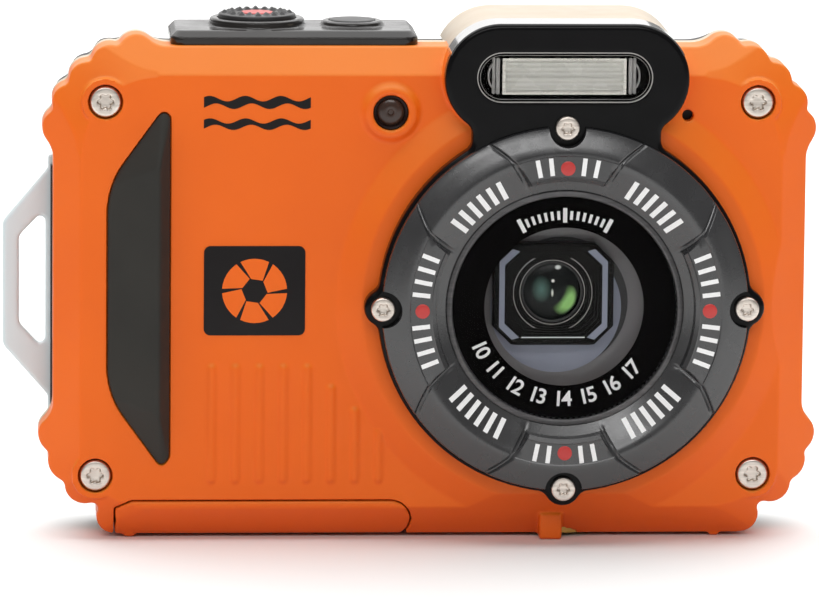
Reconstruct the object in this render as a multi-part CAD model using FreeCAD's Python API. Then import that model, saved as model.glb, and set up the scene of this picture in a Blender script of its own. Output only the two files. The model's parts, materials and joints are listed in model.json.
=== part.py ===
import FreeCAD, Part
import math
import os

# Rugged waterproof compact camera, in millimetres.
# +X is to the right as seen from the front, +Y goes from the front to the back, +Z is up.
# The origin is the mouth of the tripod socket, on the base, under the lens axis.
V = FreeCAD.Vector
X_AXIS, Y_AXIS, Z_AXIS = V(1, 0, 0), V(0, 1, 0), V(0, 0, 1)

# ---- overall body -------------------------------------------------------------------------
BODY_WIDTH = 102.15         # across the straight sides, without corner lobes or strap lug
BODY_TOP = 66.8             # height of the flat top
LENS_TO_RIGHT = 33.25       # from the lens axis to the right side
LENS_Z = 32.1               # height of the lens axis
FACE_Y = -8.6               # flat front face
FRONT_EDGE_Y = -5.5         # where the sloped front border meets the side wall
FRAME_Y = 0.0               # front of the middle frame
FRAME_DEPTH = 2.0
REAR_EDGE_Y = 7.5           # where the sloped rear border begins
REAR_Y = 11.5               # flat rear face
REAR_INSET = 0.5            # the back shell is this much smaller than the frame all round
FACE_INSET = 3.6            # width of the sloped front border at the top and the sides
FACE_INSET_LOW = 4.1        # the same at the bottom
REAR_FACE_INSET = 2.6       # width of the sloped rear border
WALL = 2.2                  # side walls
FACE_WALL = 1.8             # front and rear walls
BODY_RIGHT = LENS_TO_RIGHT
BODY_LEFT = BODY_RIGHT - BODY_WIDTH
FRAME_BACK_Y = FRAME_Y + FRAME_DEPTH
INNER_FRONT_Y = FACE_Y + FACE_WALL
INNER_REAR_Y = REAR_Y - FACE_WALL

# ---- scalloped corners ----------------------------------------------------------------------
CORNER_INSET = 14.1         # centre of each upper corner, in from both edges
LOW_CORNER_X, LOW_CORNER_Z = 13.6, 16.4     # centre of each lower corner, in from the side and the base
LOBE_PITCH_R = 13.3         # lobe centres lie on this circle
LOBE_R = 2.6
LOBE_ANGLES = (12.5, 28.75, 45.0, 61.25, 77.5)
LAST_LOW_LOBE_X = 5.1       # the lower corners' last lobe runs into the base, this far from the centre
NOTCH_R = 0.8               # concave fillet between lobes
BLEND_R = 4.0               # concave fillet from an end lobe to the straight edge
CORNER_FACE_R = 10.2        # flat face's corner radius, about the corner centre
CORNER_EDGE_R = 15.9        # the sloped corner reaches the lobes' tips at this radius
LOW_FACE_R, LOW_EDGE_R = 12.3, 18.0         # the same two radii at the lower corners

# ---- corner screws --------------------------------------------------------------------------
SCREW_HEAD_R = 2.15
SCREW_RECESS_R = 2.35
SCREW_HEAD_H = 1.5
SCREW_HEAD_SINK = 0.25      # head below the face
SCREW_SHANK_R = 1.0
SCREW_BOSS_R = 3.2
SCREW_TOP_X, SCREW_TOP_Z = 6.98, 7.25       # upper screws, in from the side and the top
SCREW_LOW_LEFT_X, SCREW_LOW_RIGHT_X, SCREW_LOW_Z = 5.7, 6.95, 8.5   # lower screws, the same
SOCKET_R, SOCKET_DEPTH = 1.15, 0.8          # six-lobe drive
GASKET_W, GASKET_T = 1.0, 0.9
FIT = 0.02                  # snug fit between fixed pieces
RUN = 0.06                  # running clearance, radial
GAP = 0.15                  # visible gap round the door

# ---- lens surround ------------------------------------------------------------------------
MOUND_R, MOUND_FOOT_R = 27.3, 30.7
MOUND_Y = -10.2
BEZEL_Y = -13.0
BEZEL_R = 25.3
EAR_R = 2.5
RING_R = 24.8
RING_EDGE_Y = -14.4
RING_CREST_R = 21.2
RING_CREST_Y = -15.1
RING_PAD_Y = -15.4
RING_BORE_R = 16.1
RING_SPIGOT_R = 20.9
RING_SEAT_Y = -11.2
RING_LIP_Y = -12.7          # the inner cone ends here, at the bore
PAD_IN_R = 18.1
PAD_TALL = (17.0, 21.0)     # half-angles of the top and bottom pads: inside, outside
PAD_WIDE = (26.0, 31.0)     # half-angles of the side pads
RING_SCREW_PITCH_R = 24.6
RING_SCREW_HEAD_R = 1.65
RING_SCREW_HEAD_H = 1.0
RING_SCREW_SHANK_R = 0.8
RING_NOTCH_R = 2.5
TRIM_R = 15.2               # bright trim round the glass, inside radius
WINDOW_T = 1.2
WINDOW_FRONT_Y = RING_SEAT_Y - WINDOW_T
LENS_HOLE_R = 13.2          # light passage through bezel and shell
SEAL_W, SEAL_T = 0.9, 0.9   # soft ring behind the glass
BEZEL_BLEND = 1.6           # concave corners at the ears and the neck
BEZEL_ROUND = 0.6           # front rim

# ---- flash hump ------------------------------------------------------------------------------
HUMP_HALF = 9.0             # from the centre line to each round end's centre
HUMP_R = 7.5
HUMP_ABOVE = 3.9            # hump top above the body top
HUMP_BACK_Y = 9.0
HUMP_WALL = 1.6
HUMP_Z = BODY_TOP + HUMP_ABOVE - HUMP_R
FLASH_X = -0.35
FLASH_HALF = 8.45           # from its centre to each round end's centre
FLASH_R = 3.3
FLASH_RISE = 0.3            # window centre above the hump centre
FLASH_WINDOW_T = 1.0
FLASH_WINDOW_Y = -12.7
REFLECTOR_W, REFLECTOR_H, REFLECTOR_D = 16.7, 4.9, 3.6
FLASH_TUBE_R = 0.9

# ---- small things on the front --------------------------------------------------------------
AF_X, AF_BELOW_TOP = -23.5, 8.6
AF_R, AF_BOSS_R, AF_BOSS_FOOT_R, AF_BOSS_H = 2.4, 3.3, 4.1, 0.8
MIC_X, MIC_BELOW_TOP, MIC_R = 16.7, 9.0, 0.78
GRIP_FROM_LEFT = 7.3        # left edge of the grip, in from the body side
GRIP_WIDTH = 8.4
GRIP_LOW, GRIP_HIGH = 9.5, 58.5             # lower and upper points
GRIP_STEP_LOW, GRIP_STEP_HIGH = 19.8, 48.2
GRIP_RIGHT_LOW, GRIP_RIGHT_HIGH = 11.1, 57.6
GRIP_DEPTH = 0.8            # pocket in the face
GRIP_RIDGE = 2.6            # ridge above the face
GRIP_RIDGE_IN = 1.5         # ridge line, in from the right edge
GRIP_RIDGE_END = 7.5        # ridge ends, in from the points
GRIP_TIP_R, GRIP_LEFT_R = 0.8, 12.0
RIB_FIRST_FROM_LEFT = 21.4
RIB_PITCH = 3.24
RIB_LOW = 7.4
RIB_TOPS = (23.9, 23.9, 23.9, 23.9, 23.9, 21.1, 18.0, 15.1)
RIB_R, RIB_SINK = 0.65, 0.25
FOOT_X, FOOT_W, FOOT_TOP = -1.2, 3.1, 3.0
FOOT_BELOW = 0.5            # feet stand this far below the base
NUB_X, NUB_W = 21.4, 1.3

# ---- top panel and its buttons ---------------------------------------------------------------
PANEL_FROM_LEFT, PANEL_RIGHT = 15.8, -19.6
PANEL_FRONT_Y, PANEL_BACK_Y = -4.6, 10.0
PANEL_H, PANEL_CHAMFER = 1.9, 0.9
BUTTON_Y = 3.0
SHUTTER_FROM_LEFT, SHUTTER_R, SHUTTER_COLLAR_R, SHUTTER_COLLAR_H = 27.75, 5.25, 6.45, 1.1
SHUTTER_PROUD = 0.6
SHUTTER_CAP_R, SHUTTER_CAP_H = 2.3, 0.5
SHUTTER_TOOTH, SHUTTER_TOOTH_H = 1.25, 0.4
POWER_X, POWER_R, POWER_COLLAR_R, POWER_COLLAR_H = -28.2, 3.1, 4.2, 0.7
POWER_PROUD = 0.15
BUTTON_FLANGE, BUTTON_FLANGE_T = 0.65, 0.6  # retaining flange: radius beyond the button, thickness
STEM_R, STEM_LENGTH, STEM_GAP = 1.3, 3.0, 0.3

# ---- strap lug -----------------------------------------------------------------------------
LUG_OUT = 6.75              # beyond the body side
LUG_LOW, LUG_HIGH = 13.9, 50.9
LUG_BASE = 0.6              # width of the strip that shows along the body
LUG_EDGE_LOW, LUG_EDGE_HIGH = 24.8, 41.8
LUG_ROOT_LOW, LUG_ROOT_HIGH = 17.8, 49.1
LUG_T = 1.8
LUG_TAIL = 2.4              # the part held inside
SLOT_IN, SLOT_OUT = 0.95, 4.5
SLOT_LOW, SLOT_HIGH = 25.2, 42.4
SLOT_SLANT = 2.6

# ---- tripod socket ---------------------------------------------------------------------------
TRIPOD_R = 2.55             # thread's inner wall, for a quarter-inch screw with 20 threads an inch
TRIPOD_DEPTH = 7.0
TRIPOD_BODY_R, TRIPOD_FLANGE_R, TRIPOD_FLANGE_H, TRIPOD_H = 5.0, 6.0, 2.0, 9.0
TRIPOD_BLOCK_W, TRIPOD_BLOCK_Y = 16.0, 5.6

# ---- battery door --------------------------------------------------------------------------
DOOR_FROM_LEFT = 8.4
DOOR_TOP = 4.95
HINGE_X, HINGE_Z, HINGE_R = -23.1, 2.2, 2.75
HINGE_PIN_R = 0.5
HINGE_LUG_R = 1.6
DOOR_BACK_Y = 7.2
DOOR_PLATE_T, DOOR_FLANGE_T = 1.8, 1.9
DOOR_CORNER_X, DOOR_CORNER_Z = 2.2, 1.1     # chamfered upper left corner
DOOR_SEAL_T, DOOR_SEAL_W = 0.8, 1.2
LATCH_W, LATCH_L, LATCH_T, LATCH_TRAVEL, LATCH_FROM_END = 5.0, 7.0, 0.9, 3.0, 3.0

# ---- power and memory --------------------------------------------------------------------
BAY_WALL = 0.8
BATTERY_W, BATTERY_H, BATTERY_D = 30.0, 40.0, 7.0
CARD_W, CARD_H, CARD_D = 24.0, 32.0, 2.1
CONTACT_R, CONTACT_H = 0.6, 2.4

# ---- rear --------------------------------------------------------------------------------------
SCREEN_W, SCREEN_H, SCREEN_X, SCREEN_Z = 57.0, 44.0, -0.5, 34.0
SCREEN_GLASS_T, SCREEN_LEDGE = 0.9, 1.8
PANEL_T = 2.0
KEY_PROUD, KEY_TRAVEL = 0.7, 0.4
KEY_FLANGE, KEY_FLANGE_T = 0.5, 0.6
KEYS_FROM_LEFT = 20.5       # the key column's centre line
PAD_Z, PAD_PITCH, PAD_KEY_R, SET_KEY_R = 24.5, 7.2, 2.4, 2.9
KEY_R = 2.5
UPPER_KEYS_Z, UPPER_KEYS_DX, LOWER_KEYS_Z = 40.5, 6.6, 10.5
ROCKER_W, ROCKER_H, ROCKER_Z, ROCKER_GAP = 14.0, 5.4, 52.0, 0.35
ROCKER_PIN_R, ROCKER_PIN_L = 0.4, 0.7
SPEAKER_HOLE_R, SPEAKER_HOLE_PITCH = 0.5, 1.8

# ---- folded lens -----------------------------------------------------------------------------
MODULE_DX, MODULE_DZ = -1.3, 1.4            # the module's axis from the window's axis
HOUSING_LEFT, HOUSING_RIGHT = -8.0, 29.5    # from the module's axis, like every X below
HOUSING_HALF_H = 12.0
HOUSING_FRONT_Y, HOUSING_BACK_Y = -6.4, 4.6
HOUSING_WALL = 1.0
OPTIC_Y = -1.0
FLANGE_R, FLANGE_T = LENS_HOLE_R - math.hypot(MODULE_DX, MODULE_DZ) - 0.1, 0.8
BAFFLE_W, BAFFLE_H, BAFFLE_T, BAFFLE_WALL_W, BAFFLE_WALL_H = 16.5, 15.5, 2.2, 2.15, 2.2
ELEMENT_R, ELEMENT_T, ELEMENT_DOME = 3.9, 1.3, 0.9
PRISM_HALF = 4.2
ROD_R, ROD_DZ = 0.6, 5.6
LEAD_R, LEAD_DZ = 0.7, 8.8
CARRIAGE_T, CARRIAGE_D, CARRIAGE_LENS_R = 2.2, 6.4, 3.6
ZOOM_X, ZOOM_TRAVEL = 6.8, 6.0
FOCUS_X, FOCUS_TRAVEL = 16.6, 3.0
WEB_X, WEB_T = 4.9, 0.9
MOTOR_R, MOTOR_X, MOTOR_L = 1.9, 22.6, 5.4
SENSOR_T, SENSOR_W, SENSOR_H = 1.2, 7.0, 9.0

BOARD_Y, BOARD_T = 5.6, 1.0


# ---- helpers ------------------------------------------------------------------------------
def box(x0, x1, y0, y1, z0, z1):
    return Part.makeBox(x1 - x0, y1 - y0, z1 - z0, V(x0, y0, z0))


def rod_x(y, z, r, x0, x1):
    return Part.makeCylinder(r, x1 - x0, V(x0, y, z), X_AXIS)


def rod_y(x, z, r, y0, y1):
    return Part.makeCylinder(r, y1 - y0, V(x, y0, z), Y_AXIS)


def rod_z(x, y, r, z0, z1):
    return Part.makeCylinder(r, z1 - z0, V(x, y, z0), Z_AXIS)


def cone_y(x, z, r0, r1, y0, y1):
    return Part.makeCone(r0, r1, y1 - y0, V(x, y0, z), Y_AXIS)


def extrude_y(wire, y0, y1):
    """Fill a closed wire lying in the plane Y = 0 and extrude it from y0 to y1."""
    solid = Part.Face(wire).extrude(V(0, y1 - y0, 0))
    solid.translate(V(0, y0, 0))
    return solid


def polygon(points):
    """Closed wire in the plane Y = 0 through (x, z) points."""
    corners = [V(x, 0, z) for x, z in points]
    return Part.makePolygon(corners + corners[:1])


def plate(points, y0, y1):
    return extrude_y(polygon(points), y0, y1)


def round_edges(solid, radius, wanted):
    """Fillet the edges that the test picks."""
    edges = [e for e in solid.Edges if wanted(e)]
    return solid.makeFillet(radius, edges) if edges else solid


def along_y(edge):
    a, b = edge.Vertexes[0].Point, edge.Vertexes[-1].Point
    return abs(a.x - b.x) < 1e-6 and abs(a.z - b.z) < 1e-6 and abs(a.y - b.y) > 1e-6


def in_plane_y(y):
    return lambda edge: all(abs(v.Point.y - y) < 1e-6 for v in edge.Vertexes)


def in_plane_z(z):
    return lambda edge: all(abs(v.Point.z - z) < 1e-6 for v in edge.Vertexes)


def rounded_plate(x, z, width, height, radius, y0, y1):
    """Rectangle with round corners, centred on (x, z)."""
    solid = box(x - width / 2, x + width / 2, y0, y1, z - height / 2, z + height / 2)
    return round_edges(solid, radius, along_y)


def stadium(x, z, half, radius, y0, y1):
    """Two round ends joined by a straight middle, lying along X."""
    ends = rod_y(x - half, z, radius, y0, y1).fuse(rod_y(x + half, z, radius, y0, y1))
    return ends.fuse(box(x - half, x + half, y0, y1, z - radius, z + radius)).removeSplitter()


def revolve_y(profile, x, z):
    """Revolve (radius, y) points about the Y line through (x, z)."""
    points = [V(x + r, y, z) for r, y in profile]
    face = Part.Face(Part.makePolygon(points + points[:1]))
    return face.revolve(V(x, 0, z), Y_AXIS, 360)


def screw(x, z, y_head, head_r, head_h, shank_r, y_end, drive_r, drive_depth):
    """Pan-head screw pointing to +Y, its head's front at y_head."""
    head = rod_y(x, z, head_r, y_head, y_head + head_h)
    head = round_edges(head, head_h * 0.3, in_plane_y(y_head))
    drive = rod_y(x, z, drive_r * 0.72, y_head - 1, y_head + drive_depth)
    for i in range(6):
        a = math.radians(60 * i)
        lobe = rod_y(x + drive_r * 0.72 * math.cos(a), z + drive_r * 0.72 * math.sin(a),
                     drive_r * 0.28, y_head - 1, y_head + drive_depth)
        drive = drive.fuse(lobe)
    return head.fuse(rod_y(x, z, shank_r, y_head + head_h, y_end)).cut(drive)


def compound(solids):
    return Part.makeCompound(solids)


# ---- body outline ---------------------------------------------------------------------------
def corner_centres():
    """Each corner: its centre, its outward directions in X and Z, and how far in it is in X and Z."""
    left, right = BODY_LEFT + CORNER_INSET, BODY_RIGHT - CORNER_INSET
    high, low = BODY_TOP - CORNER_INSET, LOW_CORNER_Z
    low_left, low_right = BODY_LEFT + LOW_CORNER_X, BODY_RIGHT - LOW_CORNER_X
    upper, lower = (CORNER_INSET, CORNER_INSET), (LOW_CORNER_X, LOW_CORNER_Z)
    return [((right, high), (1, 1), upper), ((left, high), (-1, 1), upper),
            ((low_left, low), (-1, -1), lower), ((low_right, low), (1, -1), lower)]


def tangent_circles(reach):
    """Circles round one corner in order, as (u, v, radius, convex), u and v from its centre."""
    lower = reach != (CORNER_INSET, CORNER_INSET)
    angles = LOBE_ANGLES[:3] if lower else LOBE_ANGLES
    lobes = [(LOBE_PITCH_R * math.cos(math.radians(a)), LOBE_PITCH_R * math.sin(math.radians(a)))
             for a in angles]
    if lower:
        lobes.append((LAST_LOW_LOBE_X, reach[1] - LOBE_R))

    def blend_offset(edge, height):
        """Along the edge, from an end lobe's centre to its blend's centre."""
        return math.sqrt((LOBE_R + BLEND_R) ** 2 - (edge + BLEND_R - height) ** 2)

    first, last = lobes[0], lobes[-1]
    circles = [(reach[0] + BLEND_R, first[1] - blend_offset(reach[0], first[0]), BLEND_R, False)]
    for i, (u, v) in enumerate(lobes):
        circles.append((u, v, LOBE_R, True))
        if i + 1 < len(lobes):
            u2, v2 = lobes[i + 1]
            apart = math.hypot(u2 - u, v2 - v)
            out = math.sqrt((LOBE_R + NOTCH_R) ** 2 - (apart / 2) ** 2) / apart
            circles.append(((u + u2) / 2 + (v2 - v) * out, (v + v2) / 2 - (u2 - u) * out, NOTCH_R, False))
    if not lower:
        circles.append((last[0] - blend_offset(reach[1], last[1]), reach[1] + BLEND_R, BLEND_R, False))
    return circles


def corner_arcs(centre, signs, reach, inset):
    """Points of one corner's tangent arcs, as (start, middle, end) triples, from its side edge."""
    circles = tangent_circles(reach)
    joints = [(reach[0], circles[0][1])]
    for (u, v, r, _), (u2, v2, r2, _) in zip(circles, circles[1:]):
        t = r / (r + r2)
        joints.append((u + (u2 - u) * t, v + (v2 - v) * t))
    joints.append((circles[-1][0], reach[1]))
    arcs = []
    for (u, v, r, convex), start, end in zip(circles, joints, joints[1:]):
        radius = r - inset if convex else r + inset
        middle = ((start[0] + end[0]) / 2, (start[1] + end[1]) / 2)
        points = []
        for p in (start, middle, end):
            length = math.hypot(p[0] - u, p[1] - v)
            pu, pv = u + (p[0] - u) * radius / length, v + (p[1] - v) * radius / length
            points.append(V(centre[0] + signs[0] * pu, 0, centre[1] + signs[1] * pv))
        arcs.append(points)
    return arcs


def body_outline(inset=0.0):
    """Scalloped outline, moved in by inset, as a closed wire in the plane Y = 0."""
    paths = []
    for i, (centre, signs, reach) in enumerate(corner_centres()):
        arcs = corner_arcs(centre, signs, reach, inset)
        if i % 2:
            arcs = [arc[::-1] for arc in arcs[::-1]]
        paths.append(arcs)
    edges = []
    for arcs, following in zip(paths, paths[1:] + paths[:1]):
        edges += [Part.Arc(*arc).toShape() for arc in arcs]
        edges.append(Part.LineSegment(arcs[-1][2], following[0][0]).toShape())
    return Part.Wire(edges)


def border_slopes(y_face, y_edge, edge_inset, face_inset, face_inset_low, depths):
    """Block whose four sides are the sloped borders, between two depths below the flat face."""
    drop = y_edge - y_face

    def rectangle(depth):
        def limit(inset):
            return inset - (inset - edge_inset) * depth / abs(drop)
        x0, x1 = BODY_LEFT + limit(face_inset), BODY_RIGHT - limit(face_inset)
        z0, z1 = limit(face_inset_low), BODY_TOP - limit(face_inset)
        y = y_face + math.copysign(1, drop) * depth
        points = [V(x0, y, z0), V(x1, y, z0), V(x1, y, z1), V(x0, y, z1)]
        return Part.makePolygon(points + points[:1])

    return Part.makeLoft([rectangle(depths[0]), rectangle(depths[1])], True, True)


def sloped_limits(y_face, y_edge, y_end, edge_inset, face_inset, face_inset_low):
    """Everything inside the sloped border between the flat face and the side wall."""
    # the straight borders continue past the edge so that the lobes are sloped too
    drop, run = abs(y_edge - y_face), abs(y_end - y_face)
    inward = V(0, math.copysign(1, y_end - y_face), 0)
    roof = border_slopes(y_face, y_edge, edge_inset, face_inset, face_inset_low, (0, run))
    y0, y1 = sorted((y_face, y_face + inward.y * run))
    far = 2 * LOW_CORNER_Z
    keep = box(BODY_LEFT - far, BODY_RIGHT + far, y0, y1, LOW_CORNER_Z, BODY_TOP - CORNER_INSET)
    keep = keep.fuse(box(BODY_LEFT + CORNER_INSET, BODY_RIGHT - CORNER_INSET, y0, y1, BODY_TOP / 2,
                         BODY_TOP + far))
    keep = keep.fuse(box(BODY_LEFT + LOW_CORNER_X, BODY_RIGHT - LOW_CORNER_X, y0, y1, -far, BODY_TOP / 2))
    for (x, z), _, reach in corner_centres():
        upper = reach == (CORNER_INSET, CORNER_INSET)
        face_r, edge_r = (CORNER_FACE_R, CORNER_EDGE_R) if upper else (LOW_FACE_R, LOW_EDGE_R)
        cone = Part.makeCone(face_r, edge_r, drop, V(x, y_face, z), inward)
        drum = Part.makeCylinder(edge_r, run - drop, V(x, y_face, z) + inward * drop, inward)
        keep = keep.fuse(cone).fuse(drum)
    return roof.common(keep)


def cavity(y0, y1, inset=WALL):
    width, height = BODY_WIDTH - 2 * inset, BODY_TOP - 2 * inset
    return rounded_plate((BODY_LEFT + BODY_RIGHT) / 2, BODY_TOP / 2, width, height,
                         CORNER_INSET - inset, y0, y1)


def screw_places():
    return [(BODY_LEFT + SCREW_TOP_X, BODY_TOP - SCREW_TOP_Z),
            (BODY_RIGHT - SCREW_TOP_X, BODY_TOP - SCREW_TOP_Z),
            (BODY_LEFT + SCREW_LOW_LEFT_X, SCREW_LOW_Z), (BODY_RIGHT - SCREW_LOW_RIGHT_X, SCREW_LOW_Z)]


def ring_screw_places():
    return [(RING_SCREW_PITCH_R * dx, LENS_Z + RING_SCREW_PITCH_R * dz)
            for dx, dz in ((0, 1), (1, 0), (0, -1), (-1, 0))]


# ---- battery door -------------------------------------------------------------------------
def door_region(gap, y0, y1, hinge_relief=0.0):
    """The door's outline, grown by gap, as a prism from y0 to y1."""
    left = BODY_LEFT + DOOR_FROM_LEFT - gap
    top = DOOR_TOP + gap
    below = -3 * FOOT_BELOW
    flat = plate([(left, below), (left, top - DOOR_CORNER_Z), (left + DOOR_CORNER_X, top),
                  (HINGE_X, top), (HINGE_X, below)], y0, y1)
    end = rod_y(HINGE_X, HINGE_Z, HINGE_R + gap, y0, y1)
    if hinge_relief:
        end = end.fuse(box(HINGE_X, HINGE_X + HINGE_Z + gap, y0, y1, below, HINGE_Z))
    else:
        end = end.common(box(HINGE_X - HINGE_R, HINGE_X + HINGE_R, y0, y1, 0, DOOR_TOP + 1))
    return flat.fuse(end)


def door_cutter():
    return door_region(GAP, FACE_Y - 1, DOOR_BACK_Y + GAP, hinge_relief=1.0)


def hinge_slot(gap):
    """Room in the door for the frame's hinge lug."""
    return box(HINGE_X - HINGE_LUG_R - gap, HINGE_X + HINGE_R + gap,
               FRAME_Y - gap, FRAME_BACK_Y + gap, -1, DOOR_TOP + 1)


def battery_door(outer):
    door = outer.common(door_region(0, FACE_Y - 1, DOOR_BACK_Y))
    inner_left = BODY_LEFT + DOOR_FROM_LEFT - 1
    hollow = box(inner_left, HINGE_X - HINGE_LUG_R, FACE_Y + DOOR_FLANGE_T, DOOR_BACK_Y + 1,
                 DOOR_PLATE_T, DOOR_TOP + 1)
    door = door.cut(hollow)
    door = door.cut(box(HINGE_X - HINGE_LUG_R, HINGE_X + HINGE_R + 1, FACE_Y + DOOR_FLANGE_T,
                        DOOR_BACK_Y + 1, HINGE_Z + HINGE_LUG_R, DOOR_TOP + 1))
    door = door.cut(hinge_slot(0.3))
    door = door.cut(rod_y(HINGE_X, HINGE_Z, HINGE_PIN_R, FACE_Y + DOOR_FLANGE_T, DOOR_BACK_Y - 0.8))
    nub_x = BODY_LEFT + DOOR_FROM_LEFT + 2.0
    nub = box(nub_x - NUB_W / 2, nub_x + NUB_W / 2, FRONT_EDGE_Y, DOOR_BACK_Y - 1.5, -FOOT_BELOW, 0.5)
    nub = round_edges(nub, 0.2, in_plane_z(-FOOT_BELOW))
    return door.fuse(nub).cut(latch_track())


def latch_box(gap, travel=0.0):
    x0 = BODY_LEFT + DOOR_FROM_LEFT + LATCH_FROM_END + 2.5
    y = (FRONT_EDGE_Y + DOOR_BACK_Y) / 2
    return box(x0 - gap, x0 + LATCH_L + travel + gap, y - LATCH_W / 2 - gap, y + LATCH_W / 2 + gap,
               -0.1 - gap, LATCH_T)


def latch_track():
    return latch_box(RUN, LATCH_TRAVEL)


def door_latch():
    """Thumb slider with grip ridges, running in a track in the door's underside."""
    slider = latch_box(0)
    low = slider.BoundBox
    slider = slider.common(box(low.XMin, low.XMax, low.YMin, low.YMax, low.ZMin, LATCH_T - RUN))
    for i in range(4):
        x = low.XMin + 1.4 + 1.4 * i
        slider = slider.cut(rod_y(x, low.ZMin, 0.25, low.YMin - 1, low.YMax + 1))
    return slider


def door_hinge_pin():
    return rod_y(HINGE_X, HINGE_Z, HINGE_PIN_R, FACE_Y + DOOR_FLANGE_T, DOOR_BACK_Y - 0.8)


def bay_limits(grow=0.0):
    """Inside of the battery bay: x0, x1, y0, y1."""
    x0 = BODY_LEFT + DOOR_FROM_LEFT + 2.2
    x1 = x0 + BATTERY_W + 0.6
    y0 = FACE_Y + DOOR_FLANGE_T + 1.1
    y1 = y0 + BATTERY_D + CARD_D + 2.2
    return x0 - grow, x1 + grow, y0 - grow, y1 + grow


def door_gasket():
    outer = box(*bay_limits(DOOR_SEAL_W - 0.2), DOOR_PLATE_T, DOOR_PLATE_T + DOOR_SEAL_T)
    inner = box(*bay_limits(-0.2), DOOR_PLATE_T, DOOR_PLATE_T + DOOR_SEAL_T)
    return round_edges(outer, 1.2, lambda e: abs(e.Length - DOOR_SEAL_T) < 1e-6).cut(inner)


# ---- shells ------------------------------------------------------------------------------------
def front_outer():
    """Solid front half, before hollowing: slab, corner scallops and sloped border."""
    slab = extrude_y(body_outline(), FACE_Y, FRAME_Y)
    return slab.common(sloped_limits(FACE_Y, FRONT_EDGE_Y, FRAME_Y, 0.0, FACE_INSET, FACE_INSET_LOW))


def back_outer():
    slab = extrude_y(body_outline(REAR_INSET), FRAME_BACK_Y, REAR_Y)
    return slab.common(sloped_limits(REAR_Y, REAR_EDGE_Y, FRAME_BACK_Y, REAR_INSET, REAR_FACE_INSET,
                                     REAR_FACE_INSET))


def frame_outer():
    return extrude_y(body_outline(), FRAME_Y, FRAME_BACK_Y)


def mound():
    """Low cone round the lens, kept inside the body's outline."""
    slope = (MOUND_FOOT_R - MOUND_R) / (FACE_Y - MOUND_Y)
    deep = FRONT_EDGE_Y
    foot_r = MOUND_R + slope * (deep - MOUND_Y)
    cone = cone_y(0, LENS_Z, MOUND_R, foot_r, MOUND_Y, deep)
    borders = border_slopes(FACE_Y, FRONT_EDGE_Y, 0.0, FACE_INSET, FACE_INSET_LOW,
                            (MOUND_Y - FACE_Y, deep - FACE_Y))
    return cone.common(extrude_y(body_outline(), MOUND_Y, deep)).common(borders)


def hump_block(inset, y0, y1):
    return stadium(0, HUMP_Z, HUMP_HALF, HUMP_R - inset, y0, y1)


def hump_tail(inset, y1):
    """The part of the hump that runs back over the frame and the back shell."""
    above = box(-HUMP_HALF - HUMP_R, HUMP_HALF + HUMP_R, FRAME_Y, y1, BODY_TOP + FIT, HUMP_Z + HUMP_R)
    return hump_block(inset, FRAME_Y, y1).common(above)


def grip_outline(grow):
    x0 = BODY_LEFT + GRIP_FROM_LEFT - grow
    x1 = x0 + GRIP_WIDTH + 2 * grow
    tip = x1 - grow - 1.0
    return [(x0, GRIP_STEP_LOW - grow / 2), (tip, GRIP_LOW - grow), (x1, GRIP_RIGHT_LOW),
            (x1, GRIP_RIGHT_HIGH), (tip, GRIP_HIGH + grow), (x0, GRIP_STEP_HIGH + grow / 2)]


def grip_block(grow, y0, y1):
    """Block on the grip's outline, its long left corners rounded wide."""
    outline = grip_outline(grow)
    left, tip = outline[0][0], outline[1][0]
    block = plate(outline, y0, y1)
    block = round_edges(block, GRIP_TIP_R, lambda e: along_y(e) and e.Vertexes[0].Point.x > tip - 1e-3)
    return round_edges(block, GRIP_LEFT_R, lambda e: along_y(e) and e.Vertexes[0].Point.x < left + 1e-3)


def grip_pocket():
    return grip_block(0.1, FACE_Y - 5, FACE_Y + GRIP_DEPTH)


def rib(x, z0, z1):
    y = FACE_Y + RIB_SINK
    bar = rod_z(x, y, RIB_R, z0 + RIB_R, z1 - RIB_R)
    for z in (z0 + RIB_R, z1 - RIB_R):
        bar = bar.fuse(Part.makeSphere(RIB_R, V(x, y, z)))
    return bar


def front_foot():
    foot = box(FOOT_X - FOOT_W / 2, FOOT_X + FOOT_W / 2, FACE_Y + 0.2, FRONT_EDGE_Y + 2, -FOOT_BELOW, FOOT_TOP)
    return round_edges(foot, 0.35, lambda e: in_plane_z(-FOOT_BELOW)(e) or
                       (in_plane_y(FACE_Y + 0.2)(e) and not in_plane_z(FOOT_TOP)(e)))


def nub(y0, y1):
    foot = box(NUB_X - NUB_W / 2, NUB_X + NUB_W / 2, y0, y1, -FOOT_BELOW, 0.6)
    return round_edges(foot, 0.2, in_plane_z(-FOOT_BELOW))


def tripod_flange_cut():
    return rod_z(0, 0, TRIPOD_FLANGE_R + FIT, -1, TRIPOD_FLANGE_H + FIT).fuse(
        rod_z(0, 0, TRIPOD_BODY_R + FIT, -1, WALL + 1))


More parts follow.
